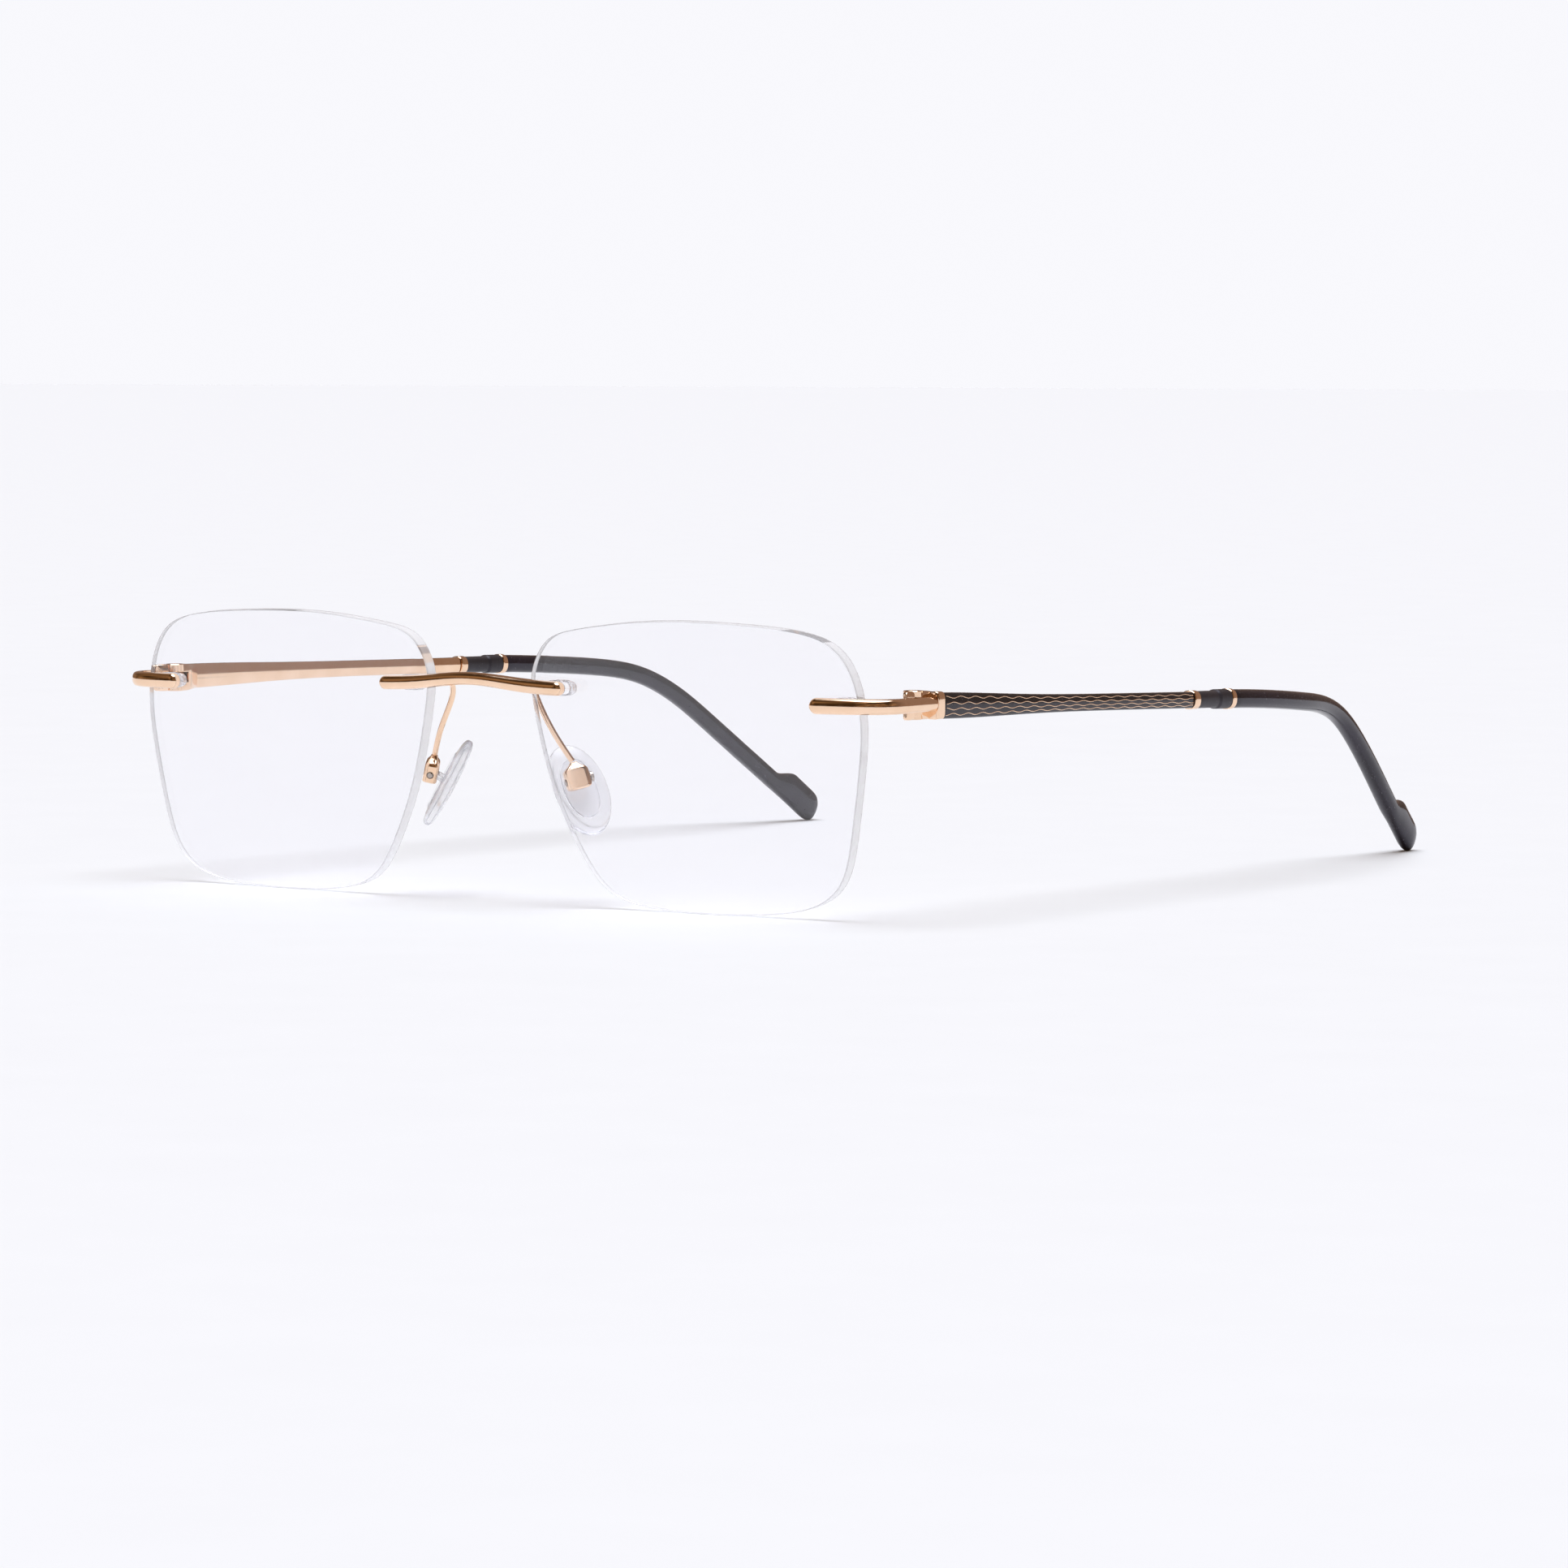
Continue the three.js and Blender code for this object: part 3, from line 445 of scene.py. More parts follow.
def mirrored(mesh):
    copy = mesh.copy()
    copy.transform(Matrix.Scale(-1, 4, (1, 0, 0)))
    copy.flip_normals()
    return copy


def add_piece(name, mesh, body, slot, *nodes):
    """An object that rides on a body, has its slot's materials and stands for some CAD nodes."""
    mesh.name = name
    for look in LOOKS[slot][len(mesh.materials):]:
        mesh.materials.append(look)
    piece = in_scene(name, mesh)
    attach(piece, body)
    if nodes:
        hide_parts(*nodes)
    return piece


# ---- materials --------------------------------------------------------------
class Nodes:
    """A node tree, with short ways to add to it."""

    def node(self, kind, **settings):
        made = self.tree.nodes.new(kind)
        for key, value in settings.items():
            setattr(made, key, value)
        return made

    def link(self, source, target):
        self.tree.links.new(source, target)


class Look(Nodes):
    """A Principled material."""

    def __init__(self, name, **values):
        self.material = bpy.data.materials.new(name)
        self.material.use_nodes = True
        self.tree = self.material.node_tree
        self.shader = self.tree.nodes["Principled BSDF"]
        self.output = self.tree.nodes["Material Output"]
        self.coords = self.tree.nodes.new("ShaderNodeTexCoord").outputs["Object"]
        for socket, value in values.items():
            self.shader.inputs[socket.replace("_", " ")].default_value = value

    def noise(self, scale, detail=3.0, stretch=(1, 1, 1)):
        mapping = self.node("ShaderNodeMapping")
        mapping.inputs["Scale"].default_value = stretch
        self.link(self.coords, mapping.inputs["Vector"])
        texture = self.node("ShaderNodeTexNoise")
        texture.inputs["Scale"].default_value = scale
        texture.inputs["Detail"].default_value = detail
        texture.inputs["Roughness"].default_value = 0.55
        self.link(mapping.outputs["Vector"], texture.inputs["Vector"])
        return texture.outputs["Fac"]

    def ramp(self, factor, *stops):
        """A colour ramp: stops are (place, colour or grey)."""
        made = self.node("ShaderNodeValToRGB")
        elements = made.color_ramp.elements
        while len(elements) < len(stops):
            elements.new(0.5)
        for element, (place, colour) in zip(elements, stops):
            element.position = place
            grey = isinstance(colour, (int, float))
            element.color = (colour, colour, colour, 1) if grey else (*colour, 1)
        self.link(factor, made.inputs["Fac"])
        return made.outputs["Color"]

    def drive(self, socket, factor, *stops):
        """Sets a socket of the shader from a ramp."""
        self.link(self.ramp(factor, *stops), self.shader.inputs[socket])

    def mix(self, factor, first, colour):
        """A colour laid over a first one by a factor."""
        made = self.node("ShaderNodeMix", data_type="RGBA")
        self.link(factor, made.inputs[0])
        self.link(first, made.inputs[6])
        made.inputs[7].default_value = colour
        return made.outputs[2]

    def bump(self, *layers):
        """Bumps laid on one another: each is (height socket, strength, depth in metres)."""
        normal = None
        for height, strength, depth in layers:
            made = self.node("ShaderNodeBump")
            made.inputs["Strength"].default_value = strength
            made.inputs["Distance"].default_value = depth
            self.link(height, made.inputs["Height"])
            if normal is not None:
                self.link(normal, made.inputs["Normal"])
            normal = made.outputs["Normal"]
        self.link(normal, self.shader.inputs["Normal"])

    def light_passes(self, tint):
        """Glass whose shadow is only its tint."""
        clear = self.node("ShaderNodeBsdfTransparent")
        clear.inputs["Color"].default_value = (*tint, 1)
        path = self.node("ShaderNodeLightPath")
        both = self.node("ShaderNodeMixShader")
        self.link(path.outputs["Is Shadow Ray"], both.inputs["Fac"])
        self.link(self.shader.outputs["BSDF"], both.inputs[1])
        self.link(clear.outputs["BSDF"], both.inputs[2])
        self.link(both.outputs["Shader"], self.output.inputs["Surface"])


def rose_gold():
    look = Look("rose_gold_polished", Metallic=1.0)
    tone = look.noise(260, 2)
    gold = look.ramp(tone, (0.35, (0.91, 0.645, 0.45)), (0.65, (0.96, 0.70, 0.51)))
    rubbed = look.ramp(look.noise(1900, 4), (0.58, 0), (0.72, 0.35))
    look.link(look.mix(rubbed, gold, (0.84, 0.58, 0.38, 1)), look.shader.inputs["Base Color"])
    hairlines = look.noise(900, 2, stretch=(1, 0.12, 6))
    look.drive("Roughness", hairlines, (0.3, 0.07), (0.75, 0.17))
    look.bump((look.noise(330, 2), 0.12, 0.00005), (hairlines, 0.05, 0.00001))
    return look.material


def steel(name, dark, light, roughness):
    look = Look(name, Metallic=1.0)
    look.drive("Base Color", look.noise(700, 3), (0.35, dark), (0.65, light))
    turning = look.noise(2400, 2, stretch=(1, 1, 5))
    look.drive("Roughness", turning, (0.3, roughness), (0.7, roughness + 0.12))
    look.bump((turning, 0.12, 0.00001))
    return look.material


def lens_clear():
    look = Look("lens_clear", IOR=1.5, Transmission_Weight=1.0, Roughness=0.0)
    tint = look.ramp(look.noise(30, 1), (0.3, (0.975, 0.972, 0.992)), (0.7, (0.985, 0.982, 0.996)))
    look.link(tint, look.shader.inputs["Base Color"])
    smears = look.noise(55, 3, stretch=(1, 1, 2.4))
    look.drive("Roughness", smears, (0.5, 0.0), (0.85, 0.02))
    look.bump((look.noise(40, 1), 0.01, 0.00002))
    look.light_passes((0.975, 0.97, 0.985))
    return look.material


def lens_edge():
    """The ground edge of a lens: pale satin grey with fine grinding marks."""
    look = Look("lens_edge_satin", IOR=1.5, Alpha=0.5)
    cloudy = look.noise(160, 3)
    look.drive("Base Color", cloudy, (0.3, (0.84, 0.84, 0.85)), (0.7, (0.94, 0.94, 0.95)))
    grinding = look.noise(2600, 2, stretch=(0.25, 5, 0.25))
    look.drive("Roughness", grinding, (0.3, 0.22), (0.7, 0.42))
    look.bump((grinding, 0.25, 0.00002))
    return look.material


def lens_bevel():
    """The narrow polished bevel at both sides of a lens's edge; its see-through grey is painted shade, the
    dark lines that refraction draws along the edge.
    """
    look = Look("lens_bevel_painted_edge_shade", IOR=1.5, Alpha=0.55)
    cloudy = look.noise(300, 2)
    # Painted shade: a grey that stands for the dark refraction lines along the lens's edge.
    look.drive("Base Color", cloudy, (0.3, (0.55, 0.55, 0.56)), (0.7, (0.72, 0.72, 0.73)))
    look.drive("Roughness", cloudy, (0.3, 0.12), (0.7, 0.25))
    look.bump((cloudy, 0.08, 0.00001))
    return look.material


def clear_plastic():
    look = Look("clear_plastic", IOR=1.46, Transmission_Weight=0.8)
    haze = look.noise(500, 2)
    look.drive("Base Color", haze, (0.3, (0.94, 0.94, 0.95)), (0.7, (0.98, 0.98, 0.99)))
    look.drive("Roughness", haze, (0.3, 0.05), (0.7, 0.14))
    look.bump((look.noise(900, 2), 0.06, 0.00002))
    look.light_passes((0.85, 0.85, 0.88))
    return look.material


def silicone():
    look = Look("silicone_clear", IOR=1.41, Transmission_Weight=0.88)
    haze = look.noise(240, 3)
    look.drive("Base Color", haze, (0.3, (0.91, 0.91, 0.93)), (0.7, (0.97, 0.97, 0.98)))
    look.drive("Roughness", look.noise(700, 3), (0.3, 0.10), (0.7, 0.24))
    look.bump((haze, 0.1, 0.00008), (look.noise(2600, 2), 0.06, 0.00001))
    look.light_passes((0.8, 0.8, 0.84))
    return look.material


def dusty_black(name, dark, light, rough, grain, dust=0.74):
    """Black plastic or lacquer: faint colour drift, fine grain and a few pale specks of dust."""
    look = Look(name, IOR=1.5, Specular_Tint=(0.93, 0.86, 1.0, 1))
    base = look.ramp(look.noise(120, 2), (0.35, dark), (0.65, light))
    specks = look.ramp(look.noise(3800, 1), (dust, 0), (dust + 0.03, 0.5))
    look.link(look.mix(specks, base, (0.30, 0.29, 0.31, 1)), look.shader.inputs["Base Color"])
    wear = look.noise(420, 4)
    look.drive("Roughness", wear, (0.3, rough[0]), (0.75, rough[1]))
    look.bump((look.noise(grain, 3), 0.1, 0.00002), (look.noise(220, 1), 0.06, 0.00006))
    return look.material


# The materials of each slot of the record, made once.
LOOKS = {
    "rose_gold": [rose_gold()],
    "screw_steel": [steel("screw_steel", (0.42, 0.36, 0.32), (0.62, 0.55, 0.50), 0.2)],
    "core_steel": [steel("core_steel", (0.45, 0.44, 0.44), (0.60, 0.59, 0.59), 0.3)],
    "lens": [lens_clear(), lens_edge(), lens_bevel()],
    "clear_plastic": [clear_plastic()],
    "silicone": [silicone()],
    "black_lacquer": [dusty_black("black_lacquer", (0.012, 0.011, 0.010), (0.020, 0.018, 0.020),
                                  (0.10, 0.20), 2400)],
    "matte_black": [dusty_black("matte_black", (0.015, 0.014, 0.016), (0.024, 0.022, 0.026),
                                (0.38, 0.52), 5200)],
    "gloss_black": [dusty_black("gloss_black", (0.006, 0.006, 0.009), (0.012, 0.010, 0.018),
                                (0.10, 0.19), 1800, 0.71)],
}


# ---- lenses -----------------------------------------------------------------
def lens_front_y(x, z):
    outward, up = x - LENS_X, z - LENS_HEIGHT / 2
    sag = (outward ** 2 + up ** 2) / (2 * LENS_RADIUS)
    return outward * math.sin(LENS_WRAP) - up * math.sin(LENS_TILT) + sag


def lens_back_y(x, z):
    return lens_front_y(x, z) + LENS_THICKNESS + LENS_BACK_GAP


def lens_basis():
    forward = np.array([math.sin(LENS_WRAP), -math.cos(LENS_WRAP), 0])
    outward = np.array([math.cos(LENS_WRAP), math.sin(LENS_WRAP), 0])
    up = UP * math.cos(LENS_TILT) + forward * math.sin(LENS_TILT)
    return np.array([outward, up, np.cross(outward, up)])


def lens_mesh():
    """A curved blank with an eased edge, bored for the pins; its slots are face, edge and bevel."""
    line = Line([(x, y, 0) for x, y in LENS_OUTLINE], closed=True)
    distances = np.arange(LENS_POINTS) / LENS_POINTS * line.length
    outline = np.array([line.at(distance)[0] for distance in distances])
    profile = [(share, 0) for share in LENS_RINGS]
    profile += [(1, -LENS_CHAMFER), (1, LENS_CHAMFER - LENS_THICKNESS)]
    profile += [(share, -LENS_THICKNESS) for share in reversed(LENS_RINGS)]
    rings = []
    for share, depth in profile:
        points = outline * share
        points[:, 2] = depth - (points[:, 0] ** 2 + points[:, 1] ** 2) / (2 * LENS_RADIUS)
        rings.append(points @ lens_basis())
    lowest = min(points[:, 2].min() for points in rings)
    mesh = mesh_of([loft([points + [LENS_X, 0, -lowest] for points in rings])], sharp=24)
    edge_row = len(LENS_RINGS)
    for index, polygon in enumerate(mesh.polygons):
        row = index // len(outline)
        polygon.material_index = {edge_row - 1: 2, edge_row: 1, edge_row + 1: 2}.get(row, 0)
    for look in LOOKS["lens"]:
        mesh.materials.append(look)
    places = [(x, MOUNT_Z) for x in BRIDGE_PINS] + [(x, END_Z) for x in END_PINS]
    bores = [rod((x, -6, z), (x, 12, z), SLEEVE_RADIUS + FIT) for x, z in places]
    return cut(mesh, bores, sharp=24)


def sleeves_mesh(places, z):
    """Two clear tubes through the lens on one domed foot behind it."""
    foot = max(lens_back_y(x, z) for x in (places[0] - SLEEVE_FOOT, places[1] + SLEEVE_FOOT)) + FIT
    bore = PIN_RADIUS + FIT / 2
    middle, half = sum(places) / 2, (places[1] - places[0]) / 2
    rings = []
    for depth, size in SLEEVE_DOME:
        at = np.array([middle, foot + depth, z])
        width = (half + SLEEVE_FOOT) * (0.35 + 0.65 * size)
        rings.append(ring(oval(40, 2.8), at, UP, OUT, SLEEVE_FOOT * size, width))
    tubes = []
    for x in places:
        front = lens_front_y(x, z) + SLEEVE_TUBE_START
        length = foot + 0.05 - front
        profile = [(0, bore), (0, SLEEVE_RADIUS), (length, SLEEVE_RADIUS), (length, bore)]
        tubes.append(turned((x, front, z), BACK, profile, 32, loop=True))
    bores = [rod((x, foot - 2, z), (x, foot + 1.1, z), bore) for x in places]
    dome = cut(mesh_of([loft(rings)], 40), bores, 40)
    return joined(dome, mesh_of(tubes, 40))


def joined(*meshes):
    work = bmesh.new()
    for mesh in meshes:
        work.from_mesh(mesh)
    result = bpy.data.meshes.new("piece")
    work.to_mesh(result)
    work.free()
    return result


# ---- metal front ------------------------------------------------------------
def bar(line, stretch, height_at, depth, both=True):
    """A bulged bar with rounded ends, its height given for each share of its length."""
    rings = []
    for distance, full in eased_ends(line.length, stretch, BAR_STATIONS, both):
        at, tall, wide = upright(line, distance)
        height = height_at(distance / line.length) / 2 * full
        rings.append(ring(bulged(), at, tall, wide, height, depth * (0.5 + 0.5 * full)))
    return loft(rings)


def bridge_mesh():
    """The arched bar and its four pins."""
    points = []
    for x in np.linspace(-BRIDGE_END, BRIDGE_END, 41):
        arch = math.exp(-((x / BRIDGE_ARCH_REACH) ** 2))
        points.append((x, BRIDGE_BACK_Y - BRIDGE_FORWARD * arch, MOUNT_Z + BRIDGE_ARCH * arch))
    body = bar(Line(points), BRIDGE_ROUND,
               lambda share: BRIDGE_HEIGHT - BRIDGE_WAIST * math.sin(math.pi * share) ** 4, BRIDGE_DEPTH)
    pins = []
    for x in [s * x for s in (-1, 1) for x in BRIDGE_PINS]:
        end = lens_back_y(abs(x), MOUNT_Z) + PIN_BEHIND
        pins.append(rod((x, BRIDGE_BACK_Y - 0.3, MOUNT_Z), (x, end, MOUNT_Z), PIN_RADIUS))
    return mesh_of([body, *pins])


def end_piece_mesh():
    """The bar that turns back into a plate outside the hinge, and its two pins."""
    body = bar(Line([(x, y, END_Z) for x, y in END_BAR_PLACES]), END_BAR_ROUND,
               lambda share: END_BAR_HEIGHT * (1 - END_BAR_TAPER * share), END_BAR_DEPTH, both=False)
    pins = []
    for x in END_PINS:
        end = lens_back_y(x, END_Z) + PIN_BEHIND
        pins.append(rod((x, END_PIN_START_Y, END_Z), (x, end, END_Z), PIN_RADIUS))
    return mesh_of([body, *pins])


def hinge_rod(bottom, top, radius):
    """A rod about the hinge's axis."""
    return rod((HINGE_X, HINGE_Y, bottom), (HINGE_X, HINGE_Y, top), radius)


def knuckle(bottom, top):
    """A hinge barrel with a hole for the screw."""
    height, hole, ease = top - bottom, SCREW_RADIUS + FIT, 0.1
    profile = [(0, hole), (0, KNUCKLE_RADIUS - ease), (ease, KNUCKLE_RADIUS),
               (height - ease, KNUCKLE_RADIUS), (height, KNUCKLE_RADIUS - ease), (height, hole)]
    return turned((HINGE_X, HINGE_Y, bottom), UP, profile, 48, loop=True)


def hinge_leaf_mesh():
    """The block inside the end piece's plate, with the middle knuckle."""
    outside = PLATE_INSIDE_X - FIT
    bottom, top = HINGE_BOTTOM + KNUCKLE_SPLIT, HINGE_TOP - KNUCKLE_SPLIT
    rings = []
    for y, deep, size in LEAF_RINGS:
        at = np.array([outside - deep / 2, y, HINGE_MIDDLE])
        rings.append(ring(oval(48, 5), at, UP, OUT, HINGE_HALF * size, deep / 2))
    web = block((outside - 1.4, LEAF_END_Y - 0.5, bottom), (outside - 0.1, HINGE_Y, top))
    return mesh_of([loft(rings), web, knuckle(bottom, top)])


def slotted_head(start, direction, radius, height, slot_across, slot_width, slot_depth):
    """A screw head with a slot across it."""
    ease = 0.08
    profile = [(0, radius), (height - ease, radius), (height, radius - ease)]
    head = mesh_of([turned(start, direction, profile)])
    axis, across = unit(direction), unit(slot_across)
    side = np.cross(axis, across)
    middle = np.asarray(start, float) + axis * height
    rings = []
    for far in (-2 * radius, 2 * radius):
        rings.append(ring(SQUARE, middle + across * far, axis, side, slot_depth, slot_width / 2))
    return cut(head, [loft(rings)])


def hinge_screw_mesh():
    bottom = HINGE_TOP - SCREW_HEAD_DROP
    shank = mesh_of([hinge_rod(HINGE_BOTTOM + 0.1, bottom + 0.1, SCREW_RADIUS)])
    head = slotted_head((HINGE_X, HINGE_Y, bottom), UP, SCREW_HEAD_RADIUS, 0.5, OUT, 0.28, 0.25)
    return joined(shank, head)


# ---- temples ----------------------------------------------------------------
def temple_line(side):
    column = 2 if side == "left" else 3
    return Line([(place[0], place[1], place[column]) for place in TEMPLE_PLACES])


def temple_half_height(y):
    back = max(y - SHOULDER_END_Y, 0) / TEMPLE_TAPER
    return (TEMPLE_REAR_HEIGHT + (TEMPLE_FRONT_HEIGHT - TEMPLE_REAR_HEIGHT) * math.exp(-(back ** 2))) / 2


def layer(line, from_y, to_y, side, gap, depth, flank):
    """A layer of the bar that bulges outward (side 1) or inward (side -1)."""
    start, end = line.distance_at_y(from_y), line.distance_at_y(to_y)
    rings = []
    for distance in [start, *np.linspace(start + LAYER_EASE, end - LAYER_EASE, 80), end]:
        inset = LAYER_EASE if distance in (start, end) else 0
        at, tall, wide = upright(line, distance)
        height = temple_half_height(at[1]) - inset
        rings.append(ring(bulged(flank), at + wide * side * gap, tall, wide * side, height, depth - inset))
    return loft(rings)


def fork_rings():
    """The inner half of the hinge, from the barrels back to where it fades into the bar."""
    outside = PLATE_INSIDE_X - FIT
    places = Line(FORK_PLACES)      # y, inner face, share of the hinge's height
    rings = []
    for distance in np.linspace(0, places.length, 16):
        y, inner, size = places.at(distance)[0]
        at = np.array([(inner + outside) / 2, y, HINGE_MIDDLE - (y - HINGE_Y) * FORK_FALL])
        rings.append(ring(oval(48, 5), at, UP, OUT, HINGE_HALF * size, (outside - inner) / 2))
    return rings


def fork_mesh():
    """The fork, less the slot for the leaf's knuckle and the hole for the screw."""
    bottom = HINGE_BOTTOM + KNUCKLE_SPLIT - KNUCKLE_GAP
    top = HINGE_TOP - KNUCKLE_SPLIT + KNUCKLE_GAP
    outside = PLATE_INSIDE_X - FIT + 0.05
    slot = block((60, 5, bottom), (outside, HINGE_Y + KNUCKLE_RADIUS + 0.4, top), 30, 0.01)
    hole = hinge_rod(HINGE_BOTTOM - 1, HINGE_TOP + 1, SCREW_HEAD_RADIUS + FIT)
    return cut(mesh_of([loft(fork_rings())]), [slot, hole])


def shoulder():
    """The step that the end piece's plate meets."""
    low, high = SHOULDER_START_Y, SHOULDER_END_Y
    outside = TEMPLE_X + TEMPLE_DEPTH
    half_height = TEMPLE_FRONT_HEIGHT / 2 + 0.1
    half_width = (outside - SHOULDER_INSIDE_X) / 2
    rings = []
    for y, inset in ((low, 0.16), (low + 0.05, 0.06), (low + 0.14, 0), (high - 0.08, 0), (high, 0.08)):
        at = np.array([(SHOULDER_INSIDE_X + outside) / 2, y, TEMPLE_FRONT_Z])
        rings.append(ring(oval(56, 4.5), at, UP, OUT, half_height - inset, half_width - inset))
    return loft(rings)


def upper_knuckle():
    """The top barrel, with a counterbore for the screw's head."""
    counterbore = hinge_rod(HINGE_TOP - COUNTERBORE_DEPTH, HINGE_TOP + 1, SCREW_HEAD_RADIUS + FIT)
    barrel = knuckle(HINGE_TOP - KNUCKLE_SPLIT + KNUCKLE_GAP, HINGE_TOP)
    return cut(mesh_of([barrel]), [counterbore])


def temple_mesh(line):
    """The bar with its shoulder and the fork of the hinge."""
    bar = layer(line, SHOULDER_END_Y - 1, PANEL_END_Y, -1, 0, TEMPLE_DEPTH, BAR_FLANK)
    lower = mesh_of([knuckle(HINGE_BOTTOM, HINGE_BOTTOM + KNUCKLE_SPLIT - KNUCKLE_GAP)])
    return joined(mesh_of([bar, shoulder()]), fork_mesh(), upper_knuckle(), lower)


def panel_mesh(line):
    """The black strip on the outside of the bar."""
    depth = TEMPLE_DEPTH - PANEL_GAP
    return mesh_of([layer(line, SHOULDER_END_Y + FIT, PANEL_END_Y, 1, PANEL_GAP, depth, PANEL_FLANK)])


def wave_ring(line, distance, place):
    """A ring of an inlaid line, lying on the panel at a share of its half height."""
    at, tall, wide = upright(line, distance)
    half = temple_half_height(at[1])
    depth, step = TEMPLE_DEPTH - PANEL_GAP, 0.01
    reach = PANEL_GAP + depth * bulge(place, PANEL_FLANK)
    beside = PANEL_GAP + depth * bulge(place + step, PANEL_FLANK)
    slope = unit(tall * step * half + wide * (beside - reach))
    out = unit(wide - slope * np.dot(wide, slope))
    middle = at + tall * place * half + wide * reach
    return ring(oval(8, 2), middle, slope, out, WAVE_WIDTH / 2, WAVE_DEPTH / 2)


def waves_mesh(line):
    """Four thin wavy lines inlaid in the panel, each the mirror image of its neighbours."""
    start = line.distance_at_y(SHOULDER_END_Y + FIT + WAVE_START_GAP)
    end = line.distance_at_y(PANEL_END_Y - WAVE_END_GAP)
    shells = []
    for number, height in enumerate(WAVE_HEIGHTS):
        swing = WAVE_SWING if number % 2 == 0 else -WAVE_SWING
        rings = []
        for share in np.linspace(0, 1, int(WAVE_COUNT * WAVE_STATIONS)):
            place = height + swing * math.cos(2 * math.pi * WAVE_COUNT * share)
            rings.append(wave_ring(line, start + share * (end - start), place))
        shells.append(loft(rings))
    return mesh_of(shells, 60)


def round_rings(line, distances, radius, sides=40):
    circle = oval(sides, 2)
    rings = []
    for distance in distances:
        at, tall, wide = upright(line, distance)
        rings.append(ring(circle, at, tall, wide, radius, radius))
    return rings


def bored_tube(line, from_y, to_y, half_size, count, swell=lambda y: 0.0):
    """A closed tube round the core wire, from its half height and half width."""
    start, end = line.distance_at_y(from_y), line.distance_at_y(to_y)
    section = oval(40, TUBE_POWER)
    half_height, half_width = half_size
    distances = [start, *np.linspace(start + TUBE_EASE, end - TUBE_EASE, count), end]
    outer = []
    for distance in distances:
        at, tall, wide = upright(line, distance)
        more = swell(at[1]) - (TUBE_EASE if distance in (start, end) else 0)
        outer.append(ring(section, at, tall, wide, half_height + more, half_width + more))
    inner = round_rings(line, distances, CORE_RADIUS + FIT)
    return mesh_of([loft(outer + inner[::-1], loop=True)], 28)


def sleeve_swell(y):
    """How much the sleeve grows into its collar."""
    return COLLAR_SWELL * smoothstep(y, COLLAR_START_Y - 0.5, COLLAR_START_Y + 0.1)


def rounded_from(share, s, flat):
    """Full size up to a share of the tip, and then round, down to a flat end."""
    past = max(s - share, 0) / (1 - share)
    return max(flat, (1 - past ** 2.6) ** (1 / 2.6))


def tip_ring(line, start, s, section):
    """A ring of the tip at a share of its length: straight below, swelling to a paddle above."""
    swell = smoothstep(s, PADDLE_START, PADDLE_START + PADDLE_SWELL)
    below = TIP_HALF_HEIGHT * rounded_from(TIP_ROUND_START, s, 0.25)
    above = (TIP_HALF_HEIGHT + PADDLE_RISE * swell) * rounded_from(TIP_ROUND_START, s, 0.35)
    width = TIP_HALF_WIDTH + TIP_WIDENING * smoothstep(s, 0.4, 0.8)
    width *= rounded_from(TIP_NARROW_START, s, 0.4)
    at, tall, wide = upright(line, line.distance_beyond(start, s))
    return ring(section, at + tall * (above - below) / 2, tall, wide, (above + below) / 2, width)


def tip_mesh(line):
    """The tip from its paddle to its mouth, and then down the bore for the core wire."""
    start = line.distance_at_y(RING_END_Y + 0.05)
    shares = [*np.linspace(0.006, 0.79, 64), *np.linspace(0.8, 0.94, 26)]
    shares += [0.95, 0.96, 0.968, 0.976, 0.983, 0.989, 0.994, 0.9975]
    section = oval(40, TIP_POWER)
    rings = [tip_ring(line, start, 1, section * 0.6)]
    rings += [tip_ring(line, start, s, section) for s in reversed(shares)]
    rings.append(tip_ring(line, start, 0, section * 0.94))
    bore = [line.distance_beyond(start, s) for s in np.linspace(0, CORE_END + 0.01, 30)]
    rings += round_rings(line, bore, CORE_RADIUS + FIT)
    return mesh_of([loft(rings)], 40)


def core_wire_mesh(line):
    """The steel wire from the end of the bar through the sleeve into the tip."""
    start = line.distance_at_y(PANEL_END_Y + 0.1)
    end = line.distance_beyond(line.distance_at_y(RING_END_Y), CORE_END)
    return mesh_of([loft(round_rings(line, np.linspace(start, end, 60), CORE_RADIUS, 20))])


# ---- nose pads --------------------------------------------------------------
def pad_basis(rock=0.0):
    """Rows along the screw, toward the nose and up along the pad, turned about the screw."""
    across = unit((0.53, 0.82, 0.22))
    to_nose = np.array([-0.716, 0.513, -0.478])
    to_nose = unit(to_nose - across * np.dot(to_nose, across))
    along = np.cross(across, to_nose)
    c, s = math.cos(rock), math.sin(rock)
    return np.array([across, c * to_nose + s * along, c * along - s * to_nose])


def in_frame(mesh, basis, at):
    """A mesh made about the origin in its own frame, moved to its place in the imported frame."""
    back = Matrix.Translation((0, -SHIFT_Y / 1000, 0))
    turn = Matrix([[*basis[:, i]] for i in range(3)]).to_4x4()
    mesh.transform(Matrix.Translation(placed(at)) @ turn @ back)
    return mesh


def pad_arm_mesh():
    """The wire from the back of the bridge, back and down to the pad box."""
    box_top = PAD_BOX_AT + np.array([0, 0, BOX_TOP + 1.45]) @ pad_basis(PAD_ROCK)
    line = Line([*ARM_PLACES, box_top])
    rings = []
    for distance in np.linspace(0, line.length, 80):
        at, direction = line.at(distance)
        wide = unit(np.cross(direction, (1, 0, 0.2)))
        rings.append(ring(oval(24, 2), at, np.cross(wide, direction), wide, PAD_ARM_RADIUS, PAD_ARM_RADIUS))
    return mesh_of([loft(rings)])


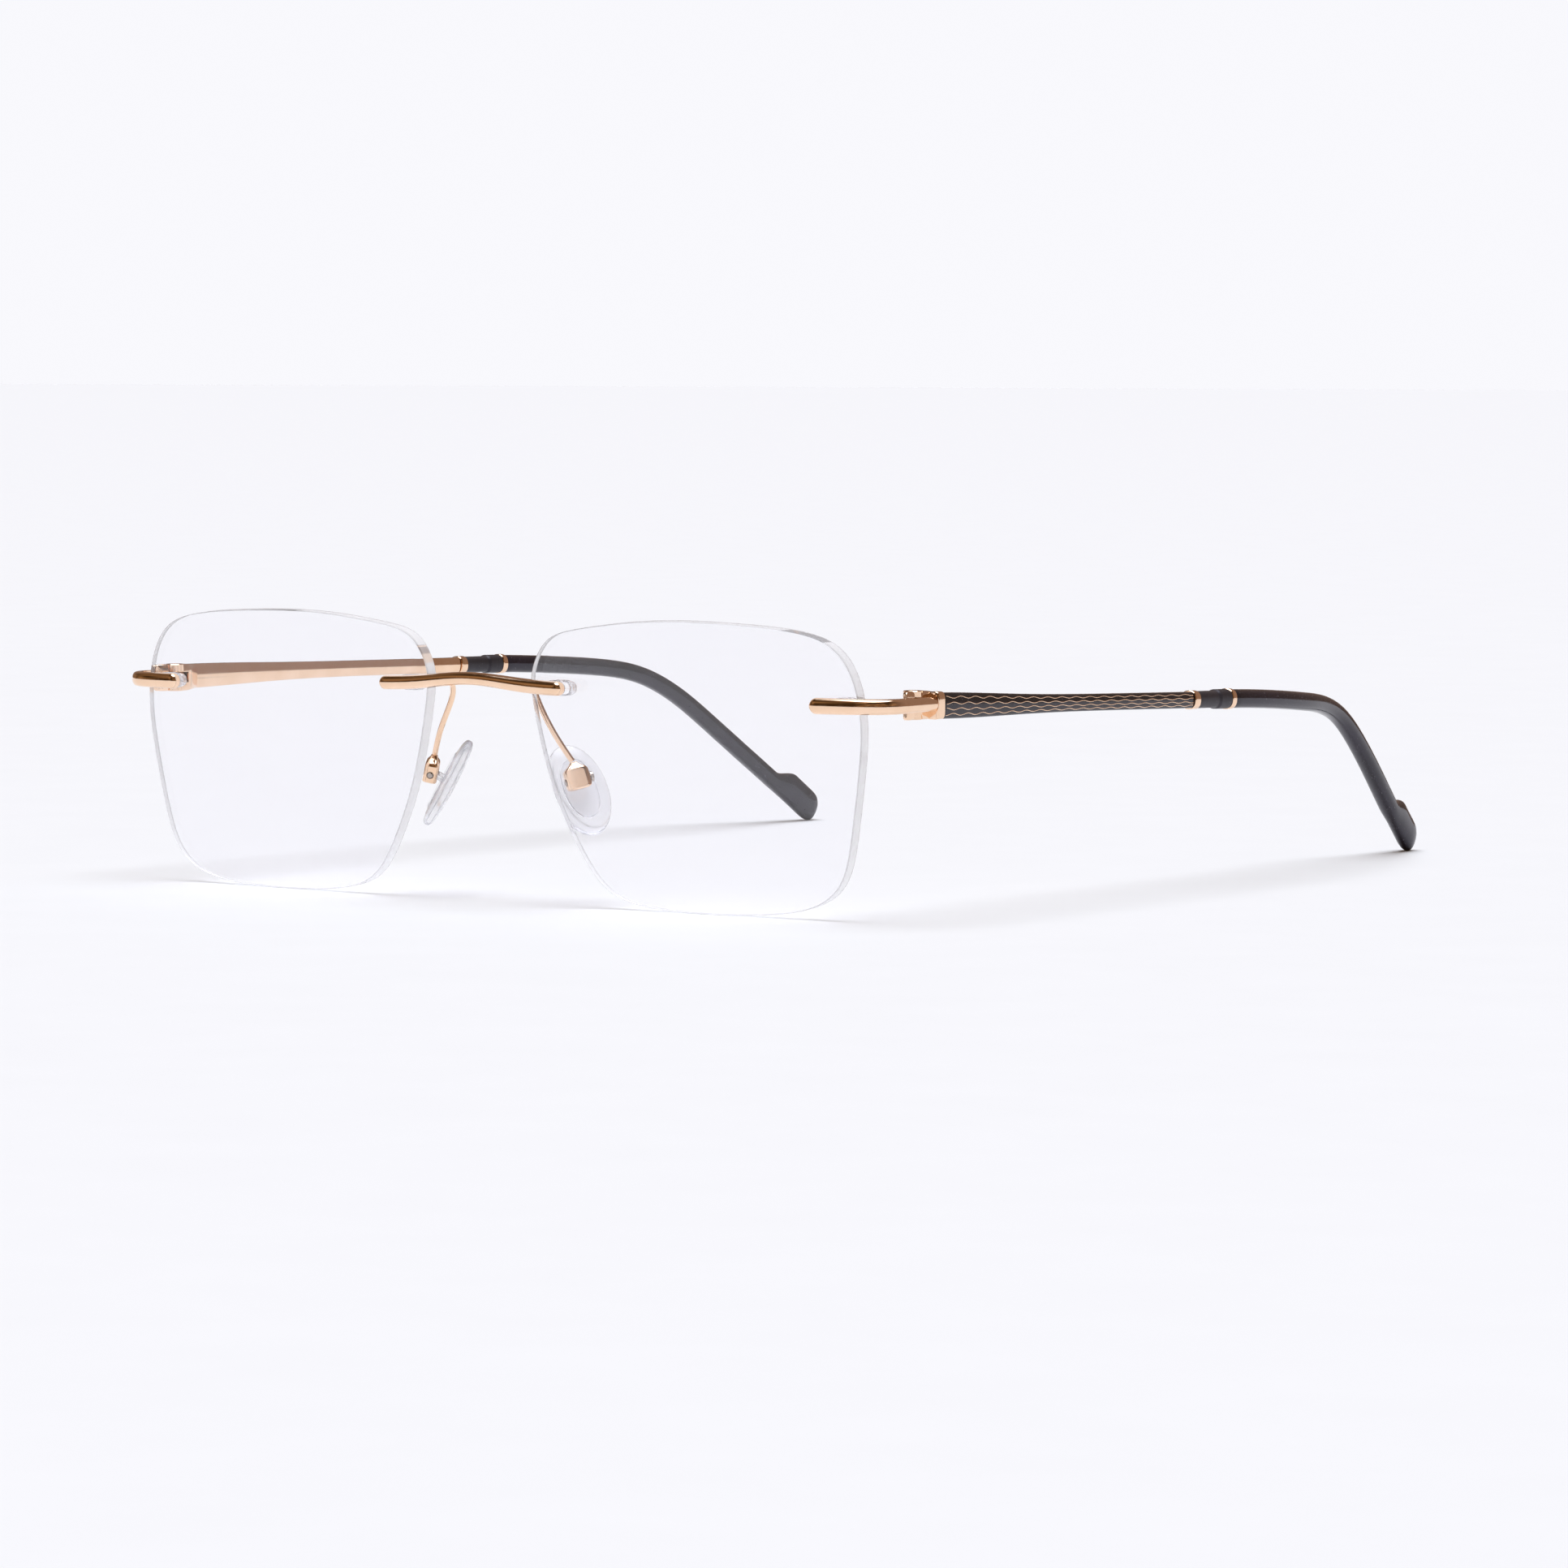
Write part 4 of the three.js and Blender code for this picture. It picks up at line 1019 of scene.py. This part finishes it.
def pad_box_mesh():
    """A square eye open toward the nose, with a neck that tapers up to the wire."""
    rings = []
    for z, wide, deep in BOX_RINGS:
        half_width, half_depth = BOX_WIDTH / 2 * wide, BOX_DEPTH / 2 * deep
        rings.append(ring(oval(48, 4.5), np.array([0, 0, z]), OUT, BACK, half_width, half_depth))
    half = BOX_WIDTH / 2 - BOX_WALL
    window = block((-half, BOX_FACE - BOX_DEPTH / 2, BOX_BOTTOM + 0.45), (half, 3, BOX_TOP - 0.2), 9, 0.01)
    bore = rod((-3, 0, 0), (3, 0, 0), PAD_SCREW_RADIUS + FIT)
    mesh = cut(mesh_of([loft(rings)]), [window, bore])
    return in_frame(mesh, pad_basis(PAD_ROCK), PAD_BOX_AT)


def pad_screw_mesh():
    """The slotted screw through the pad box."""
    half = BOX_WIDTH / 2
    shank = mesh_of([rod((-half - 0.15, 0, 0), (half + 0.3, 0, 0), PAD_SCREW_RADIUS)])
    head = slotted_head((half + 0.08, 0, 0), OUT, PAD_SCREW_HEAD, 0.42, UP, 0.22, 0.2)
    return in_frame(joined(shank, head), pad_basis(PAD_ROCK), PAD_BOX_AT)


def plate(from_y, to_y, half_length, half_width, ease=0.0):
    """An oval plate across y, in the pad's frame."""
    section = oval(56, 2.3)
    rings = []
    for y, inset in ((from_y, ease), (from_y + ease + 0.01, 0), (to_y - ease - 0.01, 0), (to_y, ease)):
        at = np.array([0, y, 0])
        rings.append(ring(section, at, UP, OUT, half_length - inset, half_width - inset))
    return loft(rings)


def pad_core_mesh():
    """Hard plate in the back of the pad, with the eye that the screw passes through."""
    basis = pad_basis()
    x, y, z = basis @ (PAD_BOX_AT - PAD_AT)
    start, end = x - PAD_EYE_HALF, x + PAD_EYE_HALF
    hole, length = PAD_SCREW_RADIUS + FIT, 2 * PAD_EYE_HALF
    profile = [(0, hole), (0, PAD_EYE_RADIUS), (length, PAD_EYE_RADIUS), (length, hole)]
    eye = turned((start, y, z), OUT, profile, 40, loop=True)
    stem = block((start, y + PAD_EYE_RADIUS - 0.12, z - PAD_STEM_HALF),
                 (end, -0.5, z + PAD_STEM_HALF), 9, 0.05)
    return in_frame(mesh_of([plate(-1.05, -0.45, *PAD_PLATE, 0.12), stem, eye]), basis, PAD_AT)


def nose_pad_mesh():
    """Thick in the middle and thin at the rim, with a recess for the hard plate."""
    angles = np.arange(64) * 2 * math.pi / 64
    rings = []
    for latitude in np.radians([-89, -84, *np.linspace(-78, 78, 40), 84, 89]):
        across = math.cos(latitude) * np.cos(angles)
        deep = math.cos(latitude) * np.sin(angles)
        rim = np.sign(deep) * np.abs(deep) ** PAD_RIM_POWER
        up = np.full_like(angles, math.sin(latitude))
        rings.append(np.stack([across * PAD_WIDTH / 2, rim * PAD_DEPTH / 2, up * PAD_LENGTH / 2], -1))
    mesh = cut(mesh_of([loft(rings)], 60), [plate(-3, -0.35, *PAD_RECESS)], 50)
    return in_frame(mesh, pad_basis(), PAD_AT)


# ---- assembly ---------------------------------------------------------------
def build_front():
    """Pieces of the front and the pads: made for the left and mirrored for the right."""
    add_piece("bridge_fine", bridge_mesh(), "front", "rose_gold", "bridge")
    pieces = [
        ("lens", lens_mesh(), "lens"),
        ("bridge_sleeve", sleeves_mesh(BRIDGE_PINS, MOUNT_Z), "clear_plastic"),
        ("end_sleeve", sleeves_mesh(END_PINS, END_Z), "clear_plastic"),
        ("end_piece", end_piece_mesh(), "rose_gold"),
        ("hinge_leaf", hinge_leaf_mesh(), "rose_gold"),
        ("hinge_screw", hinge_screw_mesh(), "screw_steel"),
        ("pad_arm", pad_arm_mesh(), "rose_gold"),
        ("pad_box", pad_box_mesh(), "rose_gold"),
        ("pad_screw", pad_screw_mesh(), "screw_steel"),
        ("pad_core", pad_core_mesh(), "clear_plastic"),
        ("nose_pad", nose_pad_mesh(), "silicone"),
    ]
    for name, mesh, slot in pieces:
        for side, shape in (("left", mesh), ("right", mirrored(mesh))):
            body = f"pad_{side}" if name in ("pad_core", "nose_pad") else "front"
            piece = add_piece(f"{name}_fine_{side}", shape, body, slot, f"{name}_{side}")


def build_temple(side):
    """Pieces of one temple, from that side's own line; the right one is mirrored."""
    line = temple_line(side)
    ferrule = bored_tube(line, PANEL_END_Y + 0.1, FERRULE_END_Y, FERRULE_HALF, 6)
    sleeve = bored_tube(line, FERRULE_END_Y + 0.05, COLLAR_END_Y, SLEEVE_HALF, 60, sleeve_swell)
    pieces = [
        ("temple", temple_mesh(line), "rose_gold"),
        ("panel", panel_mesh(line), "black_lacquer"),
        ("ferrule", ferrule, "rose_gold"),
        ("core_wire", core_wire_mesh(line), "core_steel"),
        ("sleeve", sleeve, "matte_black"),
        ("ring", bored_tube(line, COLLAR_END_Y + 0.05, RING_END_Y, RING_HALF, 6), "rose_gold"),
        ("tip", tip_mesh(line), "gloss_black"),
        ("waves", waves_mesh(line), "rose_gold"),
    ]
    for name, mesh, slot in pieces:
        shape = mesh if side == "left" else mirrored(mesh)
        if name == "waves":
            add_piece(f"waves_{side}", shape, f"temple_{side}", slot)
        else:
            add_piece(f"{name}_fine_{side}", shape, f"temple_{side}", slot, f"{name}_{side}")


# ---- stage, light and camera ------------------------------------------------
FLOOR_HALF = 12.0  # metres
FLOOR_COLOUR = (0.843, 0.856, 0.862)
SKY_COLOUR = (0.945, 0.943, 0.98, 1)
ROOM_DARK = (0.05, 0.028, 0.011, 1)
ROOM_WARM = (0.30, 0.18, 0.09, 1)
ROOM_BACK = (0.28, 0.19, 0.145, 1)
SOFTBOX_COLOUR = (0.95, 0.985, 1.06, 1)
SOFTBOX_STRENGTH = 5.3
SOFTBOX_EDGE = (0.84, 0.95)  # heights of direction between which the softbox overhead begins
WARM_PATCHES = (0.45, 0.7)  # values of the noise between which the room turns warm
BEHIND = (0.0, 0.7)  # directions along y between which the room turns to its back colour

CAMERA_AT = (548.53, -696.96, 74.81)
CAMERA_YAW = math.radians(35.5247)
CAMERA_PITCH = math.radians(3.778)
CAMERA_ROLL = math.radians(0.04)
CAMERA_LENS = 148.78  # on a 36 mm sensor


def build_floor():
    """A plain pale sheet of paper."""
    work = bmesh.new()
    bmesh.ops.create_grid(work, x_segments=12, y_segments=12, size=FLOOR_HALF)
    mesh = bpy.data.meshes.new("floor")
    work.to_mesh(mesh)
    work.free()
    look = Look("floor_paper", Roughness=0.8)
    look.shader.inputs["Specular IOR Level"].default_value = 0.2
    paper = look.noise(60, 3)
    light = tuple(min(c * 1.012, 1) for c in FLOOR_COLOUR)
    look.drive("Base Color", paper, (0.3, FLOOR_COLOUR), (0.7, light))
    mesh.materials.append(look.material)
    in_scene("floor", mesh)


class Sky(Nodes):
    """A world shader."""

    def __init__(self):
        world = bpy.data.worlds.new("studio")
        bpy.context.scene.world = world
        world.use_nodes = True
        self.tree = world.node_tree
        self.tree.nodes.clear()

    def background(self, colour, strength=1):
        made = self.node("ShaderNodeBackground")
        made.inputs["Color"].default_value = colour
        made.inputs["Strength"].default_value = strength
        return made.outputs[0]

    def mixed(self, factor, first, second):
        made = self.node("ShaderNodeMixShader")
        for source, socket in zip((factor, first, second), made.inputs):
            self.link(source, socket)
        return made.outputs[0]

    def between(self, value, limits, **settings):
        """From 0 at the first limit to 1 at the second."""
        made = self.node("ShaderNodeMapRange", **settings)
        made.inputs["From Min"].default_value, made.inputs["From Max"].default_value = limits
        self.link(value, made.inputs["Value"])
        return made.outputs["Result"]

    def maths(self, first, second, **settings):
        made = self.node("ShaderNodeMath", **settings)
        self.link(first, made.inputs[0])
        self.link(second, made.inputs[1])
        return made.outputs[0]


def build_light():
    """A wide softbox overhead, a dim warm room round the horizon, and a plain pale backdrop."""
    sky = Sky()
    direction = sky.node("ShaderNodeTexCoord").outputs["Generated"]
    split = sky.node("ShaderNodeSeparateXYZ")
    sky.link(direction, split.inputs[0])
    patches = sky.node("ShaderNodeTexNoise")
    patches.inputs["Scale"].default_value = 2.2
    patches.inputs["Detail"].default_value = 1.0
    sky.link(direction, patches.inputs["Vector"])

    warmth = sky.between(patches.outputs["Fac"], WARM_PATCHES)
    room = sky.mixed(warmth, sky.background(ROOM_DARK), sky.background(ROOM_WARM))
    behind = sky.between(split.outputs["Y"], BEHIND)
    room = sky.mixed(behind, room, sky.background(ROOM_BACK))
    overhead = sky.between(split.outputs["Z"], SOFTBOX_EDGE, interpolation_type="SMOOTHSTEP")
    lit = sky.mixed(overhead, room, sky.background(SOFTBOX_COLOUR, SOFTBOX_STRENGTH))

    # The backdrop shows to the camera, straight or through the lenses, but lights nothing.
    path = sky.node("ShaderNodeLightPath")
    seen = sky.maths(path.outputs["Is Camera Ray"], path.outputs["Is Transmission Ray"],
                     operation="MAXIMUM")
    direct = sky.maths(seen, path.outputs["Diffuse Depth"], operation="SUBTRACT", use_clamp=True)
    whole = sky.mixed(direct, lit, sky.background(SKY_COLOUR))
    sky.link(whole, sky.node("ShaderNodeOutputWorld").inputs["Surface"])
    bpy.context.scene.view_settings.view_transform = "Standard"


def build_camera():
    """The photograph's camera."""
    camera = bpy.data.cameras.new("camera")
    camera.sensor_width = 36.0
    camera.lens = CAMERA_LENS
    camera.clip_start, camera.clip_end = 0.05, 60.0
    camera.dof.use_dof = False
    stand = in_scene("camera", camera)
    turn = Matrix.Rotation(CAMERA_YAW, 4, "Z") @ Matrix.Rotation(math.pi / 2 - CAMERA_PITCH, 4, "X")
    place = Matrix.Translation(placed(CAMERA_AT))
    stand.matrix_world = place @ turn @ Matrix.Rotation(CAMERA_ROLL, 4, "Z")
    bpy.context.scene.camera = stand


build_camera()
build_front()
for temple_side in ("left", "right"):
    build_temple(temple_side)
build_floor()
build_light()
